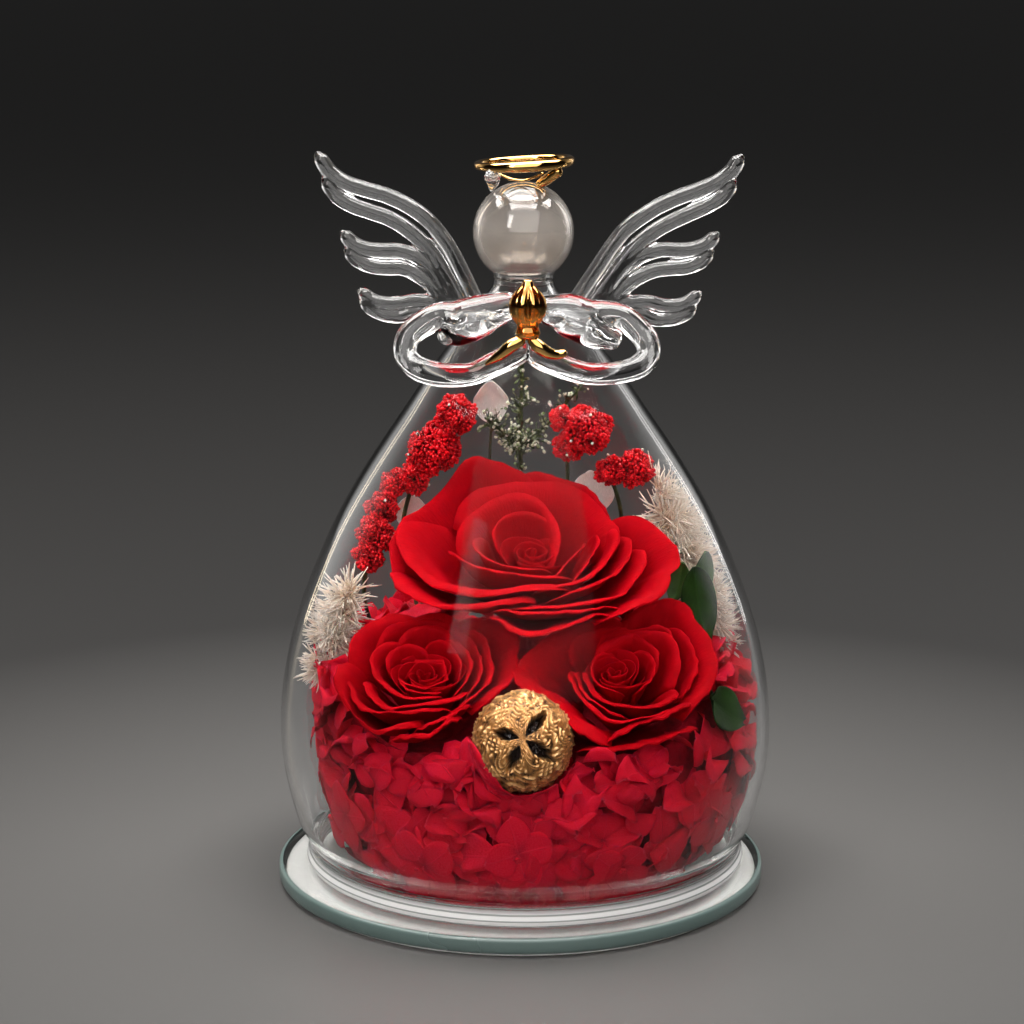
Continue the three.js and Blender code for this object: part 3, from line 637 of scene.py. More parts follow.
@finish
def petal_shadow(f, scene):
    """The dark inside of the bed, seen between its petals."""
    red = tuple(scene.rose_dome_flowers.hydrangea)
    f.set(Base_Color=f.ramp(f.noise(260, 5, 0.6), (0.3, shade(red, 0.16)), (0.7, shade(red, 0.45))),
          Roughness=0.85, Specular_IOR_Level=0.15)
    f.relief(f.noise(300, 4), 0.8, 1.2)


@finish
def gold_paint(f, scene):
    """Gold paint with painted shade in the pod's fold valleys and painted highlights on its ridges; the tint
    is 1 inside its slits, whose near-black is partly the unpainted inside and partly painted shade.
    """
    gold, slit = tuple(scene.rose_dome_gilding.pod), tuple(scene.rose_dome_gilding.slit)
    crinkle = f.noise(520, 5, 0.65, stretch=(1.0, 1.0, 0.45))
    cracks = f.add("TexVoronoi", {"Scale": 380, "Vector": f.stretched(None, (0.6, 1.0, 1.0))},
                   feature="DISTANCE_TO_EDGE")
    fold_shade_and_highlight = f.sum("ADD", f.sum("MULTIPLY", f.part(f.uv, 1), 0.5), f.sum("MULTIPLY", crinkle, 0.7))
    paint = f.ramp(fold_shade_and_highlight, (0.28, shade(gold, 0.14)), (0.44, shade(gold, 0.75)), (0.74, (1.0, 0.62, 0.28)))
    inside = f.tint()
    f.set(Base_Color=f.blend(inside, paint, slit), Roughness=f.range(crinkle, 0.24, 0.42, 0.3, 0.7),
          Metallic=f.sum("MULTIPLY", f.sum("SUBTRACT", 1.0, inside), 0.5))
    f.relief(crinkle, 0.8, 0.8, f.relief(cracks.outputs["Distance"], 0.6, 0.6))


@finish
def rice_bud(f, scene):
    red = tuple(scene.rose_dome_flowers.berry)
    f.set(Base_Color=f.blend(f.tint(), shade(red, 0.35), shade(red, 1.15)), Roughness=0.32,
          Specular_IOR_Level=0.25, Subsurface_Weight=0.15, Subsurface_Radius=(1.0, 0.08, 0.06),
          Subsurface_Scale=0.0008)
    f.relief(f.noise(1600, 3), 0.4, 0.08)


@finish
def dry_green(f, scene):
    green = tuple(scene.rose_dome_flowers.twig)
    tones = f.ramp(f.noise(420, 4), (0.3, shade(green, 0.5)), (0.55, green), (0.75, shade(green, 2.6)))
    f.set(Base_Color=tones, Roughness=0.6)
    f.relief(f.noise(900, 3, stretch=(1, 1, 0.2)), 0.5, 0.15)


@finish
def cream_bud(f, scene):
    f.set(Base_Color=f.blend(f.tint(), (0.13, 0.19, 0.05), tuple(scene.rose_dome_flowers.bud)),
          Roughness=0.55, Subsurface_Weight=0.1, Subsurface_Radius=(1.0, 0.8, 0.4),
          Subsurface_Scale=0.0006)
    f.relief(f.noise(1800, 3), 0.4, 0.08)


@finish
def dry_bristle(f, scene):
    cream = tuple(scene.rose_dome_flowers.bristle)
    along = f.ramp(f.part(f.uv, 1), (0.0, (0.90, 0.66, 0.48)), (0.4, cream), (1.0, (1.0, 0.92, 0.82)))
    f.set(Base_Color=f.blend(f.range(f.tint(), 0.0, 0.45), along, (0.86, 0.56, 0.40)), Roughness=0.6,
          Subsurface_Weight=0.15, Subsurface_Radius=(1.0, 0.8, 0.6), Subsurface_Scale=0.0006)
    f.relief(f.noise(1500, 2), 0.3, 0.05)


def leaf_shader(f, colour, rough):
    colour = tuple(colour)
    side = f.off_middle()
    slant = f.sum("SUBTRACT", f.part(f.uv, 1), f.sum("MULTIPLY", side, 0.7))
    wave = f.sum("SINE", f.sum("MULTIPLY", slant, VEIN_PITCH))
    lines = f.sum("MAXIMUM", f.range(side, 1.0, 0.0, 0.0, 0.035), f.range(wave, 0.0, 0.6, 0.9, 1.0))
    base = f.ramp(f.noise(140, 4), (0.3, shade(colour, 0.6)), (0.7, shade(colour, 1.35)))
    f.set(Base_Color=f.blend(f.sum("MULTIPLY", lines, 0.35), base, shade(colour, 2.2)),
          Roughness=f.range(f.noise(300, 3), rough * 0.8, rough * 1.3, 0.3, 0.7), Specular_IOR_Level=0.2,
          Subsurface_Weight=0.08, Subsurface_Radius=(0.3, 1.0, 0.2), Subsurface_Scale=0.0008)
    f.relief(lines, 0.3, 0.12)


@finish
def dark_leaf(f, scene):
    leaf_shader(f, scene.rose_dome_flowers.leaf, 0.38)


@finish
def light_leaf(f, scene):
    leaf_shader(f, scene.rose_dome_flowers.light_leaf, 0.5)


@finish
def bleached_petal(f, scene):
    pale = tuple(scene.rose_dome_flowers.pale)
    veins = f.noise(18, 4, 0.6, f.uv, (6.0, 0.6, 1.0))
    f.set(Base_Color=f.ramp(veins, (0.35, shade(pale, 0.72)), (0.65, pale)), Roughness=0.65,
          Subsurface_Weight=0.2, Subsurface_Radius=(1.0, 0.7, 0.6), Subsurface_Scale=0.0012)
    f.relief(veins, 0.4, 0.2)


@finish
def pale_floor(f, scene):
    """Floor that is painted lighter near the part, a painted pool of light, and fades to the backdrop's tone.
    """
    distance = f.add("VectorMath", {0: f.place}, operation="LENGTH")
    pool_falloff = f.range(distance.outputs["Value"], 0.0, 1.0, *LIGHT_POOL_FADE)
    stage = scene.rose_dome_stage
    f.set(Base_Color=f.blend(pool_falloff, tuple(stage.floor), tuple(stage.backdrop)), Roughness=0.42)


# Glass

def offset_profile(outer, wall):
    """The inside line of a turned wall, one thickness in from its outside."""
    tangent = unit(np.gradient(outer[:, :2], axis=0))
    inner = outer.copy()
    inner[:, 0] -= tangent[:, 1] * wall
    inner[:, 1] += tangent[:, 0] * wall
    return inner


DOME_LINE = [
    [53.3, 8.9], [53.3, 10.4], [53.7, 11.8], [54.8, 13.4], [56.3, 16.2], [57.9, 22], [59.2, 28], [60.0, 34],
    [60.15, 41], [59.45, 50], [57.57, 60], [54.73, 70], [50.9, 80], [46.44, 90], [40.85, 100], [34.42, 110],
    [28.93, 118], [23.51, 126], [18.26, 133], [13.13, 140], [9.2, 145],
]
NECK_LINE = [[7.5, 147.2], [7.25, 148.1], [7.0, 148.7], [7.25, 149.3], [7.15, 149.9]]


def dome_inside(height):
    """Radius of the inner wall at a height."""
    line = np.array(DOME_LINE)
    return np.interp(height, line[:, 1], line[:, 0]) - DOME_WALL


class ROSE_DOME_OT_base(bpy.types.Operator):
    """Round plate glass base over its white backing disc"""
    bl_idname = "rose_dome.add_base"
    bl_label = "Base plate"

    def execute(self, context):
        r = context.scene.rose_dome_glass.plate_radius / MM
        edge = [[r - 0.9, PLATE_BOTTOM], [r - 0.45, 1.08], [r - 0.12, 1.35], [r, 1.8], [r, 4.0],
                [r - 0.12, 4.45], [r - 0.45, 4.72], [r - 0.9, PLATE_TOP]]
        flat = [0, 10, 25, 40, 50, 55, 57.5]
        profile = [[x, PLATE_BOTTOM] for x in flat] + edge + [[x, PLATE_TOP] for x in flat[::-1]]
        segments = 192
        plate = Piece("base_plate_glass")
        plate.lathe(profile, segments)
        rim = [len(flat) <= i < len(flat) + len(edge) - 1 for i in range(len(profile) - 1)]
        plate.slots[0] = np.repeat(rim, segments).astype(int)
        merge_poles(plate.build([plate_glass(), plate_ground_edge()], "plate_glass", "base_plate"))
        disc = Piece("backing_disc_white")
        disc.lathe([[0, 0], [30, 0], [57.7, 0], [58.0, 0.15], [58.0, 0.55], [57.8, 0.7], [30, 0.7],
                    [0, 0.7]], 160)
        merge_poles(disc.build([backing_white()], "backing", "backing_disc"))
        return {"FINISHED"}


class ROSE_DOME_OT_dome(bpy.types.Operator):
    """Blown dome, its rolled foot, ringed neck and ball head, as one open skin"""
    bl_idname = "rose_dome.add_dome"
    bl_label = "Dome and head"

    def execute(self, context):
        wall = context.scene.rose_dome_glass.wall / MM
        ball = [[HEAD_RADIUS * math.cos(a), HEAD_HEIGHT + HEAD_RADIUS * math.sin(a)]
                for a in np.radians(np.concatenate([[-52], np.linspace(-46, 88, 24)]))]
        outer = smooth_line(DOME_LINE + NECK_LINE + ball, 4)
        share = np.clip((outer[:, 1] - 120) / 30, 0, 1)
        outer = np.column_stack([outer, lerp(DOME_AXIS, HEAD_AXIS, share)])
        inner = offset_profile(outer, wall)
        top_out = [[0, HEAD_HEIGHT + HEAD_RADIUS, HEAD_AXIS]]
        top_in = [[0, HEAD_HEIGHT + HEAD_RADIUS - wall, HEAD_AXIS]]
        bead = [[53.3 - wall, 8.9], [51.9, 7.6], [51.6, 6.4], [52.0, 5.4], [52.8, 5.12], [53.5, 5.25],
                [54.05, 5.9], [54.2, 6.7], [53.95, 7.6], [53.5, 8.3]]
        bead = np.array([[r, z, DOME_AXIS] for r, z in bead])
        profile = np.vstack([inner[::-1][-1:], bead, outer, top_out, top_in, inner[::-1]])
        skin = Piece("dome_and_head")
        skin.join_ends(skin.lathe(profile[1:], 96))
        height = np.vstack(skin.points)[:, 2]
        ball_faces = height[skin.quads[0]].mean(axis=1) > HEAD_HEIGHT - HEAD_RADIUS * 0.72
        skin.slots[0] = ball_faces.astype(int)
        merge_poles(skin.build([clear_glass(), ball_glass_painted_veil()], "clear_glass", "glass_dome", "head"))
        return {"FINISHED"}


LEFT_RODS = [
    [[-48.2, 176.9], [-45.9, 173.5], [-42.5, 171.1], [-37.6, 169.4], [-32.2, 167.9], [-27, 165.5],
     [-22.7, 162.5], [-19.4, 158.8], [-16.6, 154.6], [-10.9, 143]],
    [[-46.7, 171], [-44.5, 168], [-40.8, 165.6], [-36.5, 164.1], [-32, 162.6], [-27.7, 160.2], [-24.1, 157.2],
     [-21.1, 153.9], [-18.7, 150.2], [-13.8, 141.4]],
    [[-42.5, 158.4], [-40.3, 156.2], [-37.2, 155], [-33.6, 154.7], [-29.3, 154.7], [-25.7, 153.5],
     [-22.7, 151.4], [-20.3, 148.7], [-15.6, 140.6]],
    [[-41.5, 154.2], [-39.4, 152.3], [-36.1, 150.9], [-32.1, 150.5], [-28.5, 150.5], [-25.2, 149],
     [-22.2, 146.9], [-17, 140.4]],
    [[-38.3, 144.4], [-35.9, 142.5], [-32.3, 141.8], [-28.4, 142.1], [-25.1, 142.7], [-17.5, 141.6]],
    [[-37.9, 142], [-35.6, 140.2], [-32.6, 139], [-29.3, 138.8], [-26.6, 139.6], [-18, 140.6]],
]
RIGHT_RODS = [
    [[52.5, 176.4], [50.4, 173.4], [47.1, 171], [42.9, 169.2], [38.1, 167.5], [33.5, 165.5], [29, 162.8],
     [25.1, 159.8], [22, 155.9], [19, 151.4], [13.2, 142.8]],
    [[50.8, 170.5], [48.9, 168], [45.9, 165.9], [42.3, 164.2], [38.1, 162.4], [33.8, 160.3], [30.2, 157.9],
     [26.9, 154.9], [24.2, 151.6], [16.2, 141]],
    [[47, 158], [44.9, 156.1], [42.3, 155.1], [38.3, 154.7], [34.4, 154.9], [30.8, 154.1], [27.5, 152.5],
     [24.8, 150.1], [18, 140.6]],
    [[45.5, 153.9], [43.4, 151.8], [40.1, 150.6], [36.2, 150.3], [32.9, 150], [29.6, 148.8], [26.6, 147],
     [19.5, 140.4]],
    [[42.8, 143.8], [40.6, 142], [37.6, 141.2], [34.3, 141.4], [31, 142.3], [20, 141.6]],
    [[41.6, 140.5], [39.1, 138.7], [35.8, 137.9], [32.5, 138], [29.5, 139.2], [20.5, 140.6]],
]
FEATHER_RADII = [1.95, 1.95, 1.85, 1.85, 1.75, 1.75]
WING_DEPTH, WING_SWEEP = 5.2, 0.1


class ROSE_DOME_OT_wings(bpy.types.Operator):
    """Two wings, each of double feathers fused from glass rods"""
    bl_idname = "rose_dome.add_wings"
    bl_label = "Wings"

    def execute(self, context):
        for name, rods in (("wing_left", LEFT_RODS), ("wing_right", RIGHT_RODS)):
            wing = Piece(name + "_glass")
            for line, radius in zip(rods, FEATHER_RADII):
                (x0, z0), (x1, z1) = line[0], line[1]
                tip = [x0 + (x0 - x1) * 0.2, z0 + (z0 - z1) * 0.2]
                size = [0.55, 0.88] + [1] * (len(line) - 1)
                knots = [[x, WING_DEPTH + WING_SWEEP * abs(x), z, radius * s]
                         for (x, z), s in zip([tip] + line, size)]
                wing.tube(smooth_line(knots, 8), 20)
            fuse(wing.build([flame_worked_glass()], "clear_glass", name))
        return {"FINISHED"}


LEFT_ARM = [
    [-3.4, -16.2, 144.6, 3.6], [-9.4, -15.6, 142.6, 4.7], [-14.2, -15.4, 141.4, 4.7],
    [-18.8, -15.3, 142, 3.5], [-23.1, -16, 140.3, 3.1], [-26.4, -17, 137.5, 2.9],
    [-27.1, -18.6, 134.4, 2.8], [-25.6, -20.6, 131.7, 2.8], [-22.2, -22.5, 130.3, 2.9],
    [-18.5, -24.5, 129.8, 2.9], [-14.9, -26, 129.9, 2.8], [-11.4, -27.4, 130.4, 2.7],
    [-7.9, -28.4, 132, 2.8], [-4.4, -29.2, 133.8, 2.9], [-1.6, -29.8, 135.3, 2.9], [-0.1, -30, 136.2, 2.8],
]
RIGHT_ARM = [
    [6.4, -16.2, 143.6, 3.6], [10.6, -15.6, 142.9, 4.7], [14.9, -15.4, 141.8, 4.7],
    [19, -15.3, 142.2, 3.7], [23.2, -16, 142, 3.2], [26.9, -17, 139.6, 3.0], [29.5, -18.6, 136.3, 2.9],
    [29.6, -20.6, 133.4, 2.8], [27.1, -22.5, 131.3, 2.8], [23.3, -24.5, 130.4, 2.7], [19, -26, 130.2, 2.6],
    [14.9, -27.4, 130.6, 2.6], [11.1, -28.4, 131.7, 2.7], [7.3, -29.2, 133.3, 2.8], [4, -29.8, 134.9, 2.8],
    [3.1, -30, 135.6, 2.7],
]
LEFT_CURL = [[-9.0, -16.0, 141.8, 4.3], [-12.6, -16.4, 140.0, 4.2], [-15.6, -16.6, 138.4, 3.4],
             [-17.6, -16.8, 137.6, 2.2]]
RIGHT_CURL = [[11.0, -16.0, 141.6, 4.3], [15.0, -16.4, 139.8, 4.3], [18.6, -16.6, 138.0, 3.7],
              [21.2, -16.8, 136.8, 2.6]]


class ROSE_DOME_OT_arms(bpy.types.Operator):
    """Looped glass arms that come together under the hands"""
    bl_idname = "rose_dome.add_arms"
    bl_label = "Arms"

    def execute(self, context):
        for name, knots, curl in (("arm_left", LEFT_ARM, LEFT_CURL), ("arm_right", RIGHT_ARM, RIGHT_CURL)):
            arm = Piece(name + "_glass")
            arm.tube(smooth_line(knots, 8), 36)
            arm.tube(smooth_line(curl, 8), 28)
            fuse(arm.build([flame_worked_glass()], "clear_glass", name))
        return {"FINISHED"}


HALO_CENTRE = (0.7, 176.5)
HALO_RADIUS = 11.05
HALO_ROLL = -3
HALO_RODS = [
    ("halo_post_clear", "halo_post_left", 20, flame_worked_glass, "clear_glass",
     [[-6.9, -1.9, 170.7, 0.7], [-6.6, -5.0, 172.6, 1.5], [-6.7, -7.7, 174.1, 1.9],
      [-6.7, -7.9, 174.6, 1.6]]),
    ("halo_post_gilt", "halo_post_right", 20, gold_lustre, "gilt",
     [[4.6, -3.6, 171.85, 1.1], [6.6, -5.2, 173.4, 1.3], [8.6, -6.6, 175.0, 1.3]]),
    ("halo_gold_thread", "halo_thread", 10, gold_lustre, "gilt",
     [[-5.1, -4.2, 174.2, 0.3], [-2.6, -3.9, 173.1, 0.3], [0.6, -3.9, 172.7, 0.3], [3.2, -5.3, 173.6, 0.3],
      [5.0, -6.6, 174.6, 0.3]]),
]


class ROSE_DOME_OT_halo(bpy.types.Operator):
    """Gilt halo ring with its two posts and the thin thread between them"""
    bl_idname = "rose_dome.add_halo"
    bl_label = "Halo"

    def execute(self, context):
        around = np.linspace(0, TURN, 97)[:-1]
        section = np.linspace(0, TURN, 25)[:-1]
        a, b = np.meshgrid(around, section, indexing="ij")
        minor = 1.0 - 0.22 * np.sin(a - 0.5) + 0.05 * np.sin(a * 3)
        major = HALO_RADIUS + 0.12 * np.sin(a * 3)
        grid = np.stack([(major + minor * np.cos(b)) * np.cos(a), (major + minor * np.cos(b)) * np.sin(a),
                         minor * np.sin(b) * 1.05], axis=-1)
        roll = math.radians(HALO_ROLL)
        x, z = grid[..., 0].copy(), grid[..., 2].copy()
        grid[..., 0] = x * math.cos(roll) + z * math.sin(roll) + HALO_CENTRE[0]
        grid[..., 2] = -x * math.sin(roll) + z * math.cos(roll) + HALO_CENTRE[1]
        ring = Piece("halo_ring")
        ring.join_ends(ring.grid(grid, wrap=True))
        ring.build([gold_lustre()], "gilt", "halo")
        for name, node, sides, finish_of, slot_name, knots in HALO_RODS:
            rod(name, node, sides, finish_of(), slot_name, knots)
        return {"FINISHED"}


HANDS_AXIS = (1.5, -34.2)
HANDS_LINE = [
    [0.05, 139.45], [1.5, 139.55], [2.5, 140.1], [2.85, 141.1], [2.5, 142.1], [2.45, 142.6], [3.2, 143.8],
    [4.0, 145.2], [4.35, 146.8], [4.2, 148.2], [3.5, 149.7], [2.3, 151.1], [1.5, 151.9], [1.25, 152.5],
    [0.9, 153.0], [0.05, 153.2],
]
TAILS = {
    "sleeve_tail_left": [[-0.2, -33.8, 139.2, 1.3], [-2.2, -33.9, 138, 1.55], [-4.4, -33.6, 136.1, 1.3],
                         [-6.4, -33, 134.7, 0.9], [-8, -32.6, 133.6, 0.35]],
    "sleeve_tail_right": [[2.7, -33.8, 139.1, 1.3], [4.1, -33.9, 137.7, 1.6], [6, -33.6, 136.4, 1.4],
                          [8, -33, 135.8, 1.15], [9.6, -32.6, 136, 1.0]],
}


class ROSE_DOME_OT_hands(bpy.types.Operator):
    """Gilt praying hands with their wrist knob, and the two sleeve tails"""
    bl_idname = "rose_dome.add_hands"
    bl_label = "Praying hands"

    def execute(self, context):
        line = smooth_line(HANDS_LINE, 4)
        angle = np.linspace(0, TURN, 65)[:-1]
        r, z = line[:, :1], line[:, 1:]
        body = bump(z - 147, 4.0)
        seam = 1 - body * 0.34 * bump(np.cos(angle), 0.13)
        fingers = 1 - body * 0.07 * bump(np.abs(np.cos(angle)) - 0.55, 0.08)
        radius = np.maximum(r, 0.02) * seam * fingers
        x, y = HANDS_AXIS
        grid = np.stack([radius * np.cos(angle) + x, radius * np.sin(angle) * 0.72 + y,
                         np.repeat(z, len(angle), axis=1)], axis=-1)
        hands = Piece("praying_hands_gilt")
        hands.closed(grid)
        hands.build([amber_lustre()], "gilt", "praying_hands")
        for name, knots in TAILS.items():
            rod(name + "_gilt", name, 20, gold_lustre(), "gilt", knots)
        return {"FINISHED"}


# Roses

